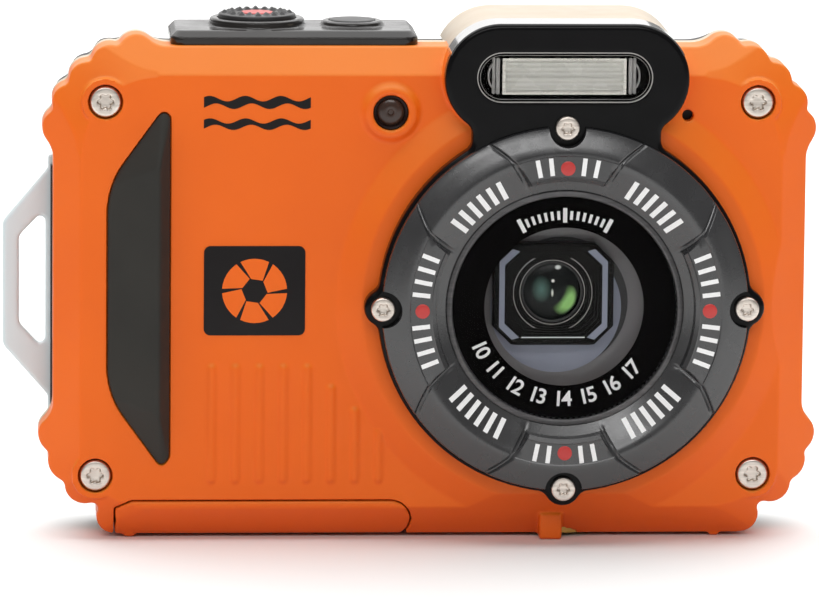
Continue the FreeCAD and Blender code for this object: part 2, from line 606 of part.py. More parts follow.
def front_shell(outer):
    shell = outer.fuse(front_foot()).cut(cavity(INNER_FRONT_Y, FRAME_Y + 1))
    for x, z in screw_places():
        shell = shell.fuse(rod_y(x, z, SCREW_BOSS_R, FACE_Y, FRAME_Y))
    shell = shell.fuse(mound().cut(cavity(INNER_FRONT_Y, FRAME_Y)))
    hump_sides = hump_block(0, INNER_FRONT_Y, FRAME_Y).cut(
        box(BODY_LEFT, BODY_RIGHT, MOUND_Y, FRAME_Y + 1, 0, BODY_TOP - WALL))
    shell = shell.fuse(hump_block(0, MOUND_Y, INNER_FRONT_Y)).fuse(hump_sides)
    shell = shell.fuse(hump_tail(0, HUMP_BACK_Y))
    shell = shell.cut(hump_block(HUMP_WALL, MOUND_Y + HUMP_WALL, FRAME_Y + 1))
    shell = shell.cut(hump_tail(HUMP_WALL, HUMP_BACK_Y - HUMP_WALL))
    af_z, mic_z = BODY_TOP - AF_BELOW_TOP, BODY_TOP - MIC_BELOW_TOP
    shell = shell.fuse(cone_y(AF_X, af_z, AF_BOSS_R, AF_BOSS_FOOT_R, FACE_Y - AF_BOSS_H, FACE_Y))
    for i, top in enumerate(RIB_TOPS):
        shell = shell.fuse(rib(BODY_LEFT + RIB_FIRST_FROM_LEFT + RIB_PITCH * i, RIB_LOW, top))
    shell = shell.fuse(nub(FRONT_EDGE_Y, FRAME_Y - 1))
    cuts = [rod_y(AF_X, af_z, AF_R, FACE_Y - 3, INNER_FRONT_Y + 1),
            rod_y(MIC_X, mic_z, MIC_R, MOUND_Y - 3, INNER_FRONT_Y + 1),
            rod_y(0, LENS_Z, LENS_HOLE_R, MOUND_Y - 1, INNER_FRONT_Y + 1),
            flash_opening(0.4, INNER_FRONT_Y),
            grip_pocket(), tripod_flange_cut(), door_cutter()]
    for x, z in screw_places():
        cuts.append(rod_y(x, z, SCREW_RECESS_R, FACE_Y - 3, FACE_Y + SCREW_HEAD_SINK + SCREW_HEAD_H))
        cuts.append(rod_y(x, z, SCREW_SHANK_R + 0.1, FACE_Y, FRAME_Y + 1))
    for x, z in ring_screw_places():
        cuts.append(rod_y(x, z, RING_SCREW_SHANK_R + FIT, MOUND_Y - 1, MOUND_Y + 2.5))
    for cutter in cuts:
        shell = shell.cut(cutter)
    return shell


def screw_relief(y0, y1, radius):
    return compound([rod_y(x, z, radius, y0, y1) for x, z in screw_places()])


def lug_pocket():
    return box(BODY_LEFT - 1, BODY_LEFT + LUG_TAIL + FIT, FRAME_BACK_Y - 0.01, FRAME_BACK_Y + LUG_T + FIT,
               LUG_LOW - FIT, LUG_HIGH + FIT)


def mid_frame(outer):
    """Bright rim between the shells, with the tripod block and the door's hinge lug."""
    frame = outer.cut(cavity(FRAME_Y - 1, FRAME_BACK_Y + 1, WALL + 1.4))
    for x, z in screw_places():
        frame = frame.fuse(rod_y(x, z, SCREW_BOSS_R, FRAME_Y, FRAME_BACK_Y))
    block = box(-TRIPOD_BLOCK_W / 2, TRIPOD_BLOCK_W / 2, -TRIPOD_BLOCK_Y, TRIPOD_BLOCK_Y,
                WALL + FIT, TRIPOD_H)
    frame = frame.fuse(block).cut(door_cutter())
    frame = frame.cut(box(*bay_limits(BAY_WALL + 0.1), -1, DOOR_TOP + GAP))
    frame = frame.fuse(rod_y(HINGE_X, HINGE_Z, HINGE_LUG_R, FRAME_Y, FRAME_BACK_Y))
    frame = frame.fuse(box(HINGE_X, HINGE_X + HINGE_R + 1.5, FRAME_Y, FRAME_BACK_Y,
                           HINGE_Z - 0.3, HINGE_Z + HINGE_LUG_R))
    frame = frame.cut(rod_y(HINGE_X, HINGE_Z, HINGE_PIN_R + RUN, FRAME_Y - 1, FRAME_BACK_Y + 1))
    frame = frame.cut(rod_z(0, 0, TRIPOD_BODY_R, -1, TRIPOD_H + 1)).cut(tripod_flange_cut())
    frame = frame.cut(screw_relief(FRAME_Y - 1, FRAME_BACK_Y + 1, SCREW_SHANK_R + 0.1))
    return frame.cut(stem_holes())


def stem_holes():
    """Ways through the top wall for the two buttons' stems."""
    return compound([rod_z(x, BUTTON_Y, STEM_R + STEM_GAP, BODY_TOP - 2 * WALL, BODY_TOP + 1)
                     for x, _, _, _ in button_collars()])


def key_places():
    """Rear keys: name, x, z and radius."""
    x = BODY_LEFT + KEYS_FROM_LEFT
    return [("up_key", x, PAD_Z + PAD_PITCH, PAD_KEY_R), ("down_key", x, PAD_Z - PAD_PITCH, PAD_KEY_R),
            ("left_key", x + PAD_PITCH, PAD_Z, PAD_KEY_R), ("right_key", x - PAD_PITCH, PAD_Z, PAD_KEY_R),
            ("set_key", x, PAD_Z, SET_KEY_R),
            ("record_key", x - UPPER_KEYS_DX, UPPER_KEYS_Z, KEY_R),
            ("play_key", x + UPPER_KEYS_DX, UPPER_KEYS_Z, KEY_R),
            ("menu_key", x + UPPER_KEYS_DX, LOWER_KEYS_Z, KEY_R),
            ("delete_key", x - UPPER_KEYS_DX, LOWER_KEYS_Z, KEY_R)]


def rocker_centre():
    return BODY_LEFT + KEYS_FROM_LEFT, ROCKER_Z


def zoom_rocker():
    """Two-way rocker on a short pin, level with the rear face at its ends."""
    x, z = rocker_centre()
    cap = rounded_plate(x, z, ROCKER_W, ROCKER_H, 2.2, INNER_REAR_Y + 0.3, REAR_Y + KEY_PROUD)
    cap = round_edges(cap, 0.35, in_plane_y(REAR_Y + KEY_PROUD))
    for side in (-1, 1):
        bump = rod_y(x + side * ROCKER_W * 0.3, z, 0.6, REAR_Y, REAR_Y + KEY_PROUD + 0.2)
        cap = cap.fuse(bump)
    dish = Part.makeCylinder(12, ROCKER_H, V(x, REAR_Y + KEY_PROUD + 11.75, z - ROCKER_H / 2), Z_AXIS)
    cap = cap.cut(dish)
    pin_y = REAR_Y - FACE_WALL / 2
    half = ROCKER_H / 2 + ROCKER_GAP + ROCKER_PIN_L
    return cap.fuse(rod_z(x, pin_y, ROCKER_PIN_R, z - half, z + half))


def rocker_opening():
    x, z = rocker_centre()
    hole = rounded_plate(x, z, ROCKER_W + 2 * ROCKER_GAP, ROCKER_H + 2 * ROCKER_GAP, 2.4,
                         INNER_REAR_Y - 1, REAR_Y + 1)
    half = ROCKER_H / 2 + ROCKER_GAP + ROCKER_PIN_L + RUN
    return hole.fuse(rod_z(x, REAR_Y - FACE_WALL / 2, ROCKER_PIN_R + RUN, z - half, z + half))


def rear_key(x, z, radius):
    cap = rod_y(x, z, radius, INNER_REAR_Y - 0.1, REAR_Y + KEY_PROUD)
    cap = round_edges(cap, 0.3, in_plane_y(REAR_Y + KEY_PROUD))
    flange_back = INNER_REAR_Y - 0.1
    return cap.fuse(rod_y(x, z, radius + KEY_FLANGE, flange_back - KEY_FLANGE_T, flange_back))


def screen_pocket(grow, y0, y1):
    return rounded_plate(SCREEN_X, SCREEN_Z, SCREEN_W + 2 * grow, SCREEN_H + 2 * grow, 2.0, y0, y1)


def speaker_holes():
    x0, z0 = BODY_LEFT + KEYS_FROM_LEFT + 14.2, BODY_TOP - 8.5
    return compound([rod_y(x0 + SPEAKER_HOLE_PITCH * i, z0 - SPEAKER_HOLE_PITCH * j, SPEAKER_HOLE_R,
                           INNER_REAR_Y - 1, REAR_Y + 1) for i in range(3) for j in range(2)])


def back_shell(outer):
    shell = outer.cut(cavity(FRAME_BACK_Y - 1, INNER_REAR_Y, WALL + REAR_INSET))
    for x, z in screw_places():
        shell = shell.fuse(rod_y(x, z, SCREW_BOSS_R - 0.3, FRAME_BACK_Y, INNER_REAR_Y))
    thumb = stadium(BODY_LEFT + KEYS_FROM_LEFT, ROCKER_Z, 8.6, 4.4, REAR_Y - 0.5, REAR_Y + 0.35)
    shell = shell.fuse(thumb).fuse(nub(FRAME_BACK_Y + 1, REAR_EDGE_Y))
    cuts = [screen_pocket(FIT, REAR_Y - SCREEN_GLASS_T, REAR_Y + 1),
            screen_pocket(-SCREEN_LEDGE, INNER_REAR_Y - 1, REAR_Y),
            rocker_opening(), speaker_holes(), lug_pocket(), door_cutter(),
            rod_z(0, 0, TRIPOD_FLANGE_R + FIT, -1, WALL + REAR_INSET + 1),
            box(-TRIPOD_BLOCK_W / 2 - FIT, TRIPOD_BLOCK_W / 2 + FIT, FRAME_BACK_Y - 1,
                TRIPOD_BLOCK_Y + FIT, WALL, TRIPOD_H + FIT),
            stem_holes(), screw_relief(FRAME_BACK_Y - 1, INNER_REAR_Y - 1, SCREW_SHANK_R + FIT)]
    for _, x, z, radius in key_places():
        cuts.append(rod_y(x, z, radius + RUN, INNER_REAR_Y - 1, REAR_Y + 1))
    for cutter in cuts:
        shell = shell.cut(cutter)
    return shell


def body_gasket():
    """Soft ring on the frame's front face, inside the front shell's wall and its screw bosses."""
    def inside(inset):
        room = cavity(FRAME_Y - GASKET_T, FRAME_Y, WALL + inset)
        return room.cut(screw_relief(FRAME_Y - 1, FRAME_Y + 1, SCREW_BOSS_R + 0.05 + inset))

    ring = inside(0).cut(inside(GASKET_W)).cut(door_cutter()).cut(
        box(*bay_limits(BAY_WALL + 0.1), -1, BATTERY_H))
    return ring.cut(box(-TRIPOD_BLOCK_W / 2 - FIT, TRIPOD_BLOCK_W / 2 + FIT, -TRIPOD_BLOCK_Y, 1, 0, TRIPOD_H))


def grip_insert():
    """Rubber grip: a long facet rising to a ridge, and a steep drop to the right."""
    base_y, rim_y = FACE_Y + GRIP_DEPTH, FACE_Y - 0.15
    outline = grip_outline(0)
    lower = grip_block(0, rim_y, base_y)
    ridge_x = outline[2][0] - GRIP_RIDGE_IN
    ridge_y = FACE_Y - GRIP_RIDGE
    low, high = V(ridge_x, ridge_y, GRIP_LOW + GRIP_RIDGE_END), V(ridge_x, ridge_y, GRIP_HIGH - GRIP_RIDGE_END)
    rim = [V(x, rim_y, z) for x, z in outline]
    left_low, tip_low, right_low, right_high, tip_high, left_high = rim
    corners = [(left_low, left_high, high, low), (left_high, tip_high, high), (tip_high, right_high, high),
               (right_high, right_low, low, high), (right_low, tip_low, low), (tip_low, left_low, low),
               rim]
    faces = [Part.Face(Part.makePolygon(list(c) + [c[0]])) for c in corners]
    cap = Part.Solid(Part.Shell(faces))
    if cap.Volume < 0:
        cap.reverse()
    insert = lower.fuse(cap.common(grip_block(0, ridge_y - 1, rim_y))).removeSplitter()
    ridge = [e for e in insert.Edges if all(abs(v.Point.x - ridge_x) < 1e-6 for v in e.Vertexes)]
    return insert.makeFillet(0.6, ridge)


# ---- lens surround ----------------------------------------------------------------------------
def bezel_outline(y0, y1):
    """Hump plate, ring base, the neck between them and the four screw ears."""
    solid = rod_y(0, LENS_Z, BEZEL_R, y0, y1)
    neck_half = HUMP_HALF + HUMP_R * 0.5
    solid = solid.fuse(box(-neck_half, neck_half, y0, y1, LENS_Z + BEZEL_R * 0.8, HUMP_Z))
    solid = solid.fuse(hump_block(0, y0, y1))
    for x, z in ring_screw_places():
        solid = solid.fuse(rod_y(x, z, EAR_R, y0, y1))
    return solid.removeSplitter()


def lens_bezel():
    bezel = bezel_outline(BEZEL_Y, MOUND_Y)
    # the hump's round ends already run smoothly into its straight sides
    bezel = round_edges(bezel, BEZEL_BLEND, lambda e: along_y(e) and
                        abs(abs(e.Vertexes[0].Point.x) - HUMP_HALF) > 1e-3)
    bezel = round_edges(bezel, BEZEL_ROUND, in_plane_y(BEZEL_Y))
    cuts = [rod_y(0, LENS_Z, RING_SPIGOT_R + FIT, BEZEL_Y - 1, RING_SEAT_Y),
            rod_y(0, LENS_Z, LENS_HOLE_R, BEZEL_Y - 1, MOUND_Y + 1),
            flash_opening(0, FLASH_WINDOW_Y + FLASH_WINDOW_T), flash_opening(0.4, MOUND_Y + 1)]
    cuts += [rod_y(x, z, RING_SCREW_SHANK_R + FIT, BEZEL_Y - 1, MOUND_Y + 1) for x, z in ring_screw_places()]
    for cutter in cuts:
        bezel = bezel.cut(cutter)
    return bezel


def flash_opening(inset, y1):
    """Round-ended opening for the flash window, from in front of the bezel to y1."""
    return stadium(FLASH_X, HUMP_Z + FLASH_RISE, FLASH_HALF, FLASH_R - inset, BEZEL_Y - 1, y1)


def ring_pad(centre_angle, half_in, half_out):
    """Raised sector of the lens ring, wider outside than inside."""
    outer_r = RING_R - 0.5
    inner, outer = (PAD_IN_R, half_in), (outer_r, half_out)
    crest = (RING_CREST_R, (half_in + half_out) / 2)

    def at(r, degrees):
        a = math.radians(centre_angle + degrees)
        return V(r * math.cos(a), 0, LENS_Z + r * math.sin(a))

    edges = [Part.Arc(at(inner[0], -inner[1]), at(inner[0], 0), at(inner[0], inner[1])).toShape(),
             Part.LineSegment(at(inner[0], inner[1]), at(crest[0], crest[1])).toShape(),
             Part.LineSegment(at(crest[0], crest[1]), at(outer[0], outer[1])).toShape(),
             Part.Arc(at(outer[0], outer[1]), at(outer[0], 0), at(outer[0], -outer[1])).toShape(),
             Part.LineSegment(at(outer[0], -outer[1]), at(crest[0], -crest[1])).toShape(),
             Part.LineSegment(at(crest[0], -crest[1]), at(inner[0], -inner[1])).toShape()]
    pad = extrude_y(Part.Wire(edges), RING_PAD_Y, RING_EDGE_Y + 1.2)
    slope = revolve_y([(0, RING_PAD_Y), (RING_CREST_R + 0.4, RING_PAD_Y), (outer_r, RING_EDGE_Y - 0.1),
                       (outer_r, RING_EDGE_Y + 1.3), (0, RING_EDGE_Y + 1.3)], 0, LENS_Z)
    return pad.common(slope)


def lens_ring():
    ring = revolve_y([(RING_BORE_R, RING_SEAT_Y), (RING_BORE_R, RING_LIP_Y), (RING_CREST_R - 0.6, RING_CREST_Y),
                      (RING_CREST_R, RING_CREST_Y), (RING_R, RING_EDGE_Y), (RING_R, BEZEL_Y),
                      (RING_SPIGOT_R, BEZEL_Y), (RING_SPIGOT_R, RING_SEAT_Y)], 0, LENS_Z)
    for angle, halves in ((90, PAD_TALL), (270, PAD_TALL), (0, PAD_WIDE), (180, PAD_WIDE)):
        ring = ring.fuse(ring_pad(angle, *halves))
    for x, z in ring_screw_places():
        ring = ring.cut(rod_y(x, z, RING_NOTCH_R, RING_PAD_Y - 1, BEZEL_Y + FIT))
    return ring


def ring_screws():
    return compound([screw(x, z, BEZEL_Y - RING_SCREW_HEAD_H, RING_SCREW_HEAD_R, RING_SCREW_HEAD_H,
                           RING_SCREW_SHANK_R, MOUND_Y + 2.4, 0.85, 0.55) for x, z in ring_screw_places()])


def corner_screws():
    y_head = FACE_Y + SCREW_HEAD_SINK
    return compound([screw(x, z, y_head, SCREW_HEAD_R, SCREW_HEAD_H, SCREW_SHANK_R, INNER_REAR_Y - 1.5,
                           SOCKET_R, SOCKET_DEPTH) for x, z in screw_places()])


def window_trim():
    return revolve_y([(TRIM_R, RING_SEAT_Y), (TRIM_R, RING_LIP_Y - 0.1), (TRIM_R + 0.25, RING_LIP_Y - 0.3),
                      (RING_BORE_R, RING_LIP_Y - 0.1), (RING_BORE_R, RING_SEAT_Y)], 0, LENS_Z)


def lens_window():
    return rod_y(0, LENS_Z, TRIM_R, WINDOW_FRONT_Y, WINDOW_FRONT_Y + WINDOW_T)


def window_seal():
    """Soft ring between the glass and the bezel's inner step."""
    ring = rod_y(0, LENS_Z, LENS_HOLE_R, RING_SEAT_Y, RING_SEAT_Y + SEAL_T)
    return ring.cut(rod_y(0, LENS_Z, LENS_HOLE_R - SEAL_W, RING_SEAT_Y - 1, RING_SEAT_Y + SEAL_T + 1))


# ---- flash, lamp and sound -----------------------------------------------------------------------
def flash_window():
    pane = stadium(FLASH_X, HUMP_Z + FLASH_RISE, FLASH_HALF, FLASH_R - FIT, FLASH_WINDOW_Y,
                   FLASH_WINDOW_Y + FLASH_WINDOW_T)
    return pane


def flash_reflector():
    """Trough behind the window, open to the front, with a hole for the tube at each end."""
    z = HUMP_Z + FLASH_RISE
    y0 = FLASH_WINDOW_Y + FLASH_WINDOW_T + 0.05
    outer = box(FLASH_X - REFLECTOR_W / 2, FLASH_X + REFLECTOR_W / 2, y0, y0 + REFLECTOR_D,
                z - REFLECTOR_H / 2, z + REFLECTOR_H / 2)
    trough = Part.makeCylinder(REFLECTOR_H / 2 - 0.3, REFLECTOR_W - 0.8,
                               V(FLASH_X - REFLECTOR_W / 2 + 0.4, y0, z), X_AXIS)
    bore = rod_x(y0 + 1.2, z, FLASH_TUBE_R + 0.02, FLASH_X - REFLECTOR_W, FLASH_X + REFLECTOR_W)
    return outer.cut(trough).cut(bore)


def flash_tube():
    y = FLASH_WINDOW_Y + FLASH_WINDOW_T + 0.05 + 1.2
    z = HUMP_Z + FLASH_RISE
    half = REFLECTOR_W / 2
    tube = rod_x(y, z, FLASH_TUBE_R, FLASH_X - half - 1.6, FLASH_X + half + 1.6)
    return tube


def flash_capacitor():
    x, y, r = -17.0, -2.2, 3.8
    can = rod_z(x, y, r, 20.0, 46.0)
    can = round_edges(can, 0.6, lambda e: e.Curve.TypeId == "Part::GeomCircle")
    for dx in (-1.3, 1.3):
        can = can.fuse(rod_z(x + dx, y, 0.35, 17.0, 20.2))
    return can


def af_lamp_lens():
    z = BODY_TOP - AF_BELOW_TOP
    lens = rod_y(AF_X, z, AF_R - FIT, FACE_Y - 0.1, INNER_FRONT_Y + 0.6)
    return lens.fuse(rod_y(AF_X, z, AF_R + 0.8, INNER_FRONT_Y, INNER_FRONT_Y + 0.6))


def microphone():
    z = BODY_TOP - MIC_BELOW_TOP
    return rod_y(MIC_X, z, 2.0, INNER_FRONT_Y, INNER_FRONT_Y + 1.4)


def speaker():
    x, z = BODY_LEFT + KEYS_FROM_LEFT + 16.0, BODY_TOP - 9.4
    can = rod_y(x, z, 4.6, INNER_REAR_Y - 2.4, INNER_REAR_Y)
    return round_edges(can, 0.4, in_plane_y(INNER_REAR_Y - 2.4))


# ---- top controls ------------------------------------------------------------------------------
def top_panel():
    x0, x1 = BODY_LEFT + PANEL_FROM_LEFT, PANEL_RIGHT
    top = BODY_TOP + PANEL_H
    panel = box(x0, x1, PANEL_FRONT_Y, PANEL_BACK_Y, BODY_TOP, top)
    panel = round_edges(panel, 1.6, lambda e: abs(e.Length - PANEL_H) < 1e-6)
    panel = panel.makeChamfer(PANEL_CHAMFER, [e for e in panel.Edges if in_plane_z(top)(e)])
    for x, r, collar_r, collar_h in button_collars():
        collar = rod_z(x, BUTTON_Y, collar_r, top - 0.2, top + collar_h)
        collar = round_edges(collar, 0.35, in_plane_z(top + collar_h))
        panel = panel.fuse(collar)
    for x, r, collar_r, collar_h in button_collars():
        panel = panel.cut(rod_z(x, BUTTON_Y, r + RUN, BODY_TOP - 1, top + collar_h + 1))
        panel = panel.cut(rod_z(x, BUTTON_Y, r + BUTTON_FLANGE + 0.15, BODY_TOP - 1, top - 0.15))
    return panel


def button_collars():
    """Shutter and power: x, button radius, collar radius and collar height."""
    return [(BODY_LEFT + SHUTTER_FROM_LEFT, SHUTTER_R, SHUTTER_COLLAR_R, SHUTTER_COLLAR_H),
            (POWER_X, POWER_R, POWER_COLLAR_R, POWER_COLLAR_H)]


def push_button(x, r, crown, flange_top):
    """Round cap, its retaining flange and the stem that works the switch."""
    cap = rod_z(x, BUTTON_Y, r, flange_top - BUTTON_FLANGE_T, crown)
    cap = round_edges(cap, 0.3, in_plane_z(crown))
    flange = rod_z(x, BUTTON_Y, r + BUTTON_FLANGE, flange_top - BUTTON_FLANGE_T, flange_top)
    stem = rod_z(x, BUTTON_Y, STEM_R, flange_top - BUTTON_FLANGE_T - STEM_LENGTH, flange_top)
    return cap.fuse(flange).fuse(stem)


def shutter_button():
    x = BODY_LEFT + SHUTTER_FROM_LEFT
    top = BODY_TOP + PANEL_H
    crown = top + SHUTTER_COLLAR_H + SHUTTER_PROUD
    button = push_button(x, SHUTTER_R, crown, top - 0.2)
    count = int(SHUTTER_R / SHUTTER_TOOTH) + 1
    for i in range(-count, count + 1):
        for j in range(-count, count + 1):
            dx, dy = i * SHUTTER_TOOTH, j * SHUTTER_TOOTH
            reach = math.hypot(dx, dy)
            if SHUTTER_CAP_R + 0.75 < reach < SHUTTER_R - 0.8:
                half = SHUTTER_TOOTH * 0.45
                tooth = Part.makeCone(half, 0.15, SHUTTER_TOOTH_H, V(x + dx, BUTTON_Y + dy, crown - 0.02))
                button = button.fuse(tooth)
    return button.cut(rod_z(x, BUTTON_Y, SHUTTER_CAP_R + FIT, crown - 0.4, crown + 1))


def shutter_cap():
    """Coloured dot set in the middle of the shutter button."""
    x = BODY_LEFT + SHUTTER_FROM_LEFT
    crown = BODY_TOP + PANEL_H + SHUTTER_COLLAR_H + SHUTTER_PROUD
    dot = rod_z(x, BUTTON_Y, SHUTTER_CAP_R, crown - 0.4, crown - 0.4 + SHUTTER_CAP_H)
    return round_edges(dot, 0.15, in_plane_z(crown - 0.4 + SHUTTER_CAP_H))


def power_button():
    top = BODY_TOP + PANEL_H
    return push_button(POWER_X, POWER_R, top + POWER_COLLAR_H + POWER_PROUD, top - 0.2)


# ---- strap lug and tripod socket ------------------------------------------------------------------
def strap_lug():
    """Flat metal loop: a strip along the body side with a slanted eye."""
    inner, side, outer = BODY_LEFT + LUG_TAIL, BODY_LEFT - LUG_BASE, BODY_LEFT - LUG_OUT
    y0, y1 = FRAME_BACK_Y, FRAME_BACK_Y + LUG_T
    lug = plate([(inner, LUG_LOW), (side, LUG_LOW), (side, LUG_ROOT_LOW), (outer, LUG_EDGE_LOW),
                 (outer, LUG_EDGE_HIGH), (side, LUG_ROOT_HIGH), (side, LUG_HIGH), (inner, LUG_HIGH)], y0, y1)
    lug = round_edges(lug, 1.6, lambda e: along_y(e) and abs(e.Vertexes[0].Point.x - outer) < 1e-6)
    slot_in, slot_out = BODY_LEFT - SLOT_IN, BODY_LEFT - SLOT_OUT
    slot = plate([(slot_in, SLOT_LOW - 1.2), (slot_out, SLOT_LOW + SLOT_SLANT),
                  (slot_out, SLOT_HIGH - SLOT_SLANT), (slot_in, SLOT_HIGH + 1.2)], y0 - 1, y1 + 1)
    slot = round_edges(slot, 0.7, along_y)
    lug = lug.cut(slot)
    outside = [e for e in lug.Edges if (in_plane_y(y0)(e) or in_plane_y(y1)(e))
               and all(v.Point.x < side - 0.2 for v in e.Vertexes)]
    return lug.makeFillet(0.45, outside)


def tripod_socket():
    body = rod_z(0, 0, TRIPOD_BODY_R - FIT, TRIPOD_FLANGE_H, TRIPOD_H)
    body = body.fuse(rod_z(0, 0, TRIPOD_FLANGE_R - FIT, 0, TRIPOD_FLANGE_H))
    return body.cut(rod_z(0, 0, TRIPOD_R, -1, TRIPOD_DEPTH))


# ---- folded lens -------------------------------------------------------------------------------
def lens_housing():
    z0, z1 = LENS_Z - HOUSING_HALF_H, LENS_Z + HOUSING_HALF_H
    outer = box(HOUSING_LEFT, HOUSING_RIGHT, HOUSING_FRONT_Y, HOUSING_BACK_Y, z0, z1)
    outer = round_edges(outer, 1.0, along_y)
    w = HOUSING_WALL
    inner = box(HOUSING_LEFT + w, HOUSING_RIGHT - w, HOUSING_FRONT_Y + w, HOUSING_BACK_Y - w, z0 + w, z1 - w)
    web = box(WEB_X, WEB_X + WEB_T, HOUSING_FRONT_Y + w, HOUSING_BACK_Y - w, z0 + w, z1 - w)
    web = web.cut(rod_x(OPTIC_Y, LENS_Z, CARRIAGE_LENS_R, WEB_X - 1, WEB_X + 3))
    flange = rod_y(0, LENS_Z, FLANGE_R, HOUSING_FRONT_Y - FLANGE_T, HOUSING_FRONT_Y + 0.2)
    housing = outer.cut(inner).fuse(web).fuse(flange)
    housing = housing.cut(rod_y(0, LENS_Z, ELEMENT_R + FIT, HOUSING_FRONT_Y - 2, HOUSING_FRONT_Y + w + 0.1))
    for dz in (-ROD_DZ, ROD_DZ):
        housing = housing.cut(rod_x(OPTIC_Y, LENS_Z + dz, ROD_R + FIT, WEB_X - 0.5, HOUSING_RIGHT - w + 0.6))
    for dz in (-LEAD_DZ, LEAD_DZ):
        housing = housing.cut(rod_x(OPTIC_Y, LENS_Z + dz, 0.35 + RUN, WEB_X - 0.5, WEB_X + WEB_T + 0.5))
    return housing


def guide_rods():
    return compound([rod_x(OPTIC_Y, LENS_Z + dz, ROD_R, WEB_X - 0.4, HOUSING_RIGHT - HOUSING_WALL + 0.5)
                     for dz in (-ROD_DZ, ROD_DZ)])


def carriage(x, screw_side):
    """Lens carrier that runs on both rods and is driven by the lead screw on one side."""
    reach = LEAD_DZ + 1.3
    z0 = LENS_Z - (reach if screw_side < 0 else ROD_DZ + 1.2)
    z1 = LENS_Z + (reach if screw_side > 0 else ROD_DZ + 1.2)
    body = box(x, x + CARRIAGE_T, OPTIC_Y - 1.5, OPTIC_Y + 1.5, z0, z1)
    body = body.fuse(rod_x(OPTIC_Y, LENS_Z, CARRIAGE_LENS_R + 0.7, x, x + CARRIAGE_T))
    body = body.common(box(x, x + CARRIAGE_T, OPTIC_Y - 4.2, OPTIC_Y + 4.2, z0, z1))
    for dz in (-ROD_DZ, ROD_DZ):
        body = body.cut(rod_x(OPTIC_Y, LENS_Z + dz, ROD_R + RUN, x - 1, x + CARRIAGE_T + 1))
    body = body.cut(rod_x(OPTIC_Y, LENS_Z + screw_side * LEAD_DZ, LEAD_R + RUN, x - 1, x + CARRIAGE_T + 1))
    dish = Part.makeSphere(14, V(x - 13.4, OPTIC_Y, LENS_Z))
    return body.cut(dish)


def lead_screw(side):
    z = LENS_Z + side * LEAD_DZ
    x0 = WEB_X + WEB_T + 0.1
    shaft = rod_x(OPTIC_Y, z, LEAD_R, x0, MOTOR_X - 0.1)
    shaft = shaft.fuse(rod_x(OPTIC_Y, z, 0.35, WEB_X - 0.3, x0 + 0.1))
    slot = box(MOTOR_X - 0.6, MOTOR_X, OPTIC_Y - 0.15, OPTIC_Y + 0.15, z - 1, z + 1)
    return shaft.cut(slot)


def lens_motor(side):
    z = LENS_Z + side * LEAD_DZ
    can = rod_x(OPTIC_Y, z, MOTOR_R, MOTOR_X, MOTOR_X + MOTOR_L)
    can = round_edges(can, 0.3, lambda e: e.Curve.TypeId == "Part::GeomCircle")
    return can


def front_element():
    """Front lens: a disc with a domed face."""
    y0 = HOUSING_FRONT_Y - 0.3
    disc = rod_y(0, LENS_Z, ELEMENT_R, y0, y0 + ELEMENT_T)
    ball_r = (ELEMENT_R ** 2 + ELEMENT_DOME ** 2) / (2 * ELEMENT_DOME)
    ball = Part.makeSphere(ball_r, V(0, y0 - ELEMENT_DOME + ball_r, LENS_Z))
    dome = ball.common(rod_y(0, LENS_Z, ELEMENT_R, y0 - ELEMENT_DOME - 0.5, y0 + 0.1))
    return disc.fuse(dome)


def prism():
    x, y = PRISM_HALF, OPTIC_Y
    points = [V(-x, y - x, 0), V(x, y - x, 0), V(x, y + x, 0)]
    face = Part.Face(Part.makePolygon(points + points[:1]))
    solid = face.extrude(V(0, 0, 2 * x))
    solid.translate(V(0, 0, LENS_Z - x))
    return solid


def lens_baffle():
    """Square hood with cut corners round the front lens."""
    y1 = HOUSING_FRONT_Y - FLANGE_T
    y0 = y1 - BAFFLE_T
    outer = rounded_plate(0, LENS_Z, BAFFLE_W, BAFFLE_H, 3.4, y0, y1)
    mouth_w, mouth_h = BAFFLE_W - 2 * BAFFLE_WALL_W, BAFFLE_H - 2 * BAFFLE_WALL_H
    inner = box(-mouth_w / 2, mouth_w / 2, y0 - 1, y1 + 1, LENS_Z - mouth_h / 2, LENS_Z + mouth_h / 2)
    inner = inner.makeChamfer(2.0, [e for e in inner.Edges if along_y(e)])
    return round_edges(outer, 0.5, in_plane_y(y0)).cut(inner)


def image_sensor():
    x1 = HOUSING_RIGHT - HOUSING_WALL
    chip = box(x1 - SENSOR_T, x1, OPTIC_Y - SENSOR_W / 2, OPTIC_Y + SENSOR_W / 2,
               LENS_Z - SENSOR_H / 2, LENS_Z + SENSOR_H / 2)
    glass = box(x1 - SENSOR_T - 0.4, x1 - SENSOR_T, OPTIC_Y - SENSOR_W / 2 + 1, OPTIC_Y + SENSOR_W / 2 - 1,
                LENS_Z - SENSOR_H / 2 + 1, LENS_Z + SENSOR_H / 2 - 1)
    return chip.fuse(glass)


# ---- electronics, battery and card ----------------------------------------------------------------
def battery_bay():
    """Plastic well for battery and card, open at the door."""
    x0, x1, y0, y1 = bay_limits()
    z0 = DOOR_PLATE_T + DOOR_SEAL_T
    top = z0 + 0.4 + BATTERY_H + CONTACT_H
    outer = box(*bay_limits(BAY_WALL), z0, top + BAY_WALL)
    well = box(x0, x1, y0, y1, z0 - 1, top)
    divider = box(x0, x1, y0 + BATTERY_D + 0.5, y0 + BATTERY_D + 1.3, z0 + 3, top)
    return outer.cut(well).fuse(divider)


def battery():
    x0, _, y0, _ = bay_limits()
    z0 = DOOR_PLATE_T + DOOR_SEAL_T + 0.4
    cell = box(x0 + 0.3, x0 + 0.3 + BATTERY_W, y0 + 0.25, y0 + 0.25 + BATTERY_D, z0, z0 + BATTERY_H)
    return cell.makeFillet(0.8, cell.Edges)


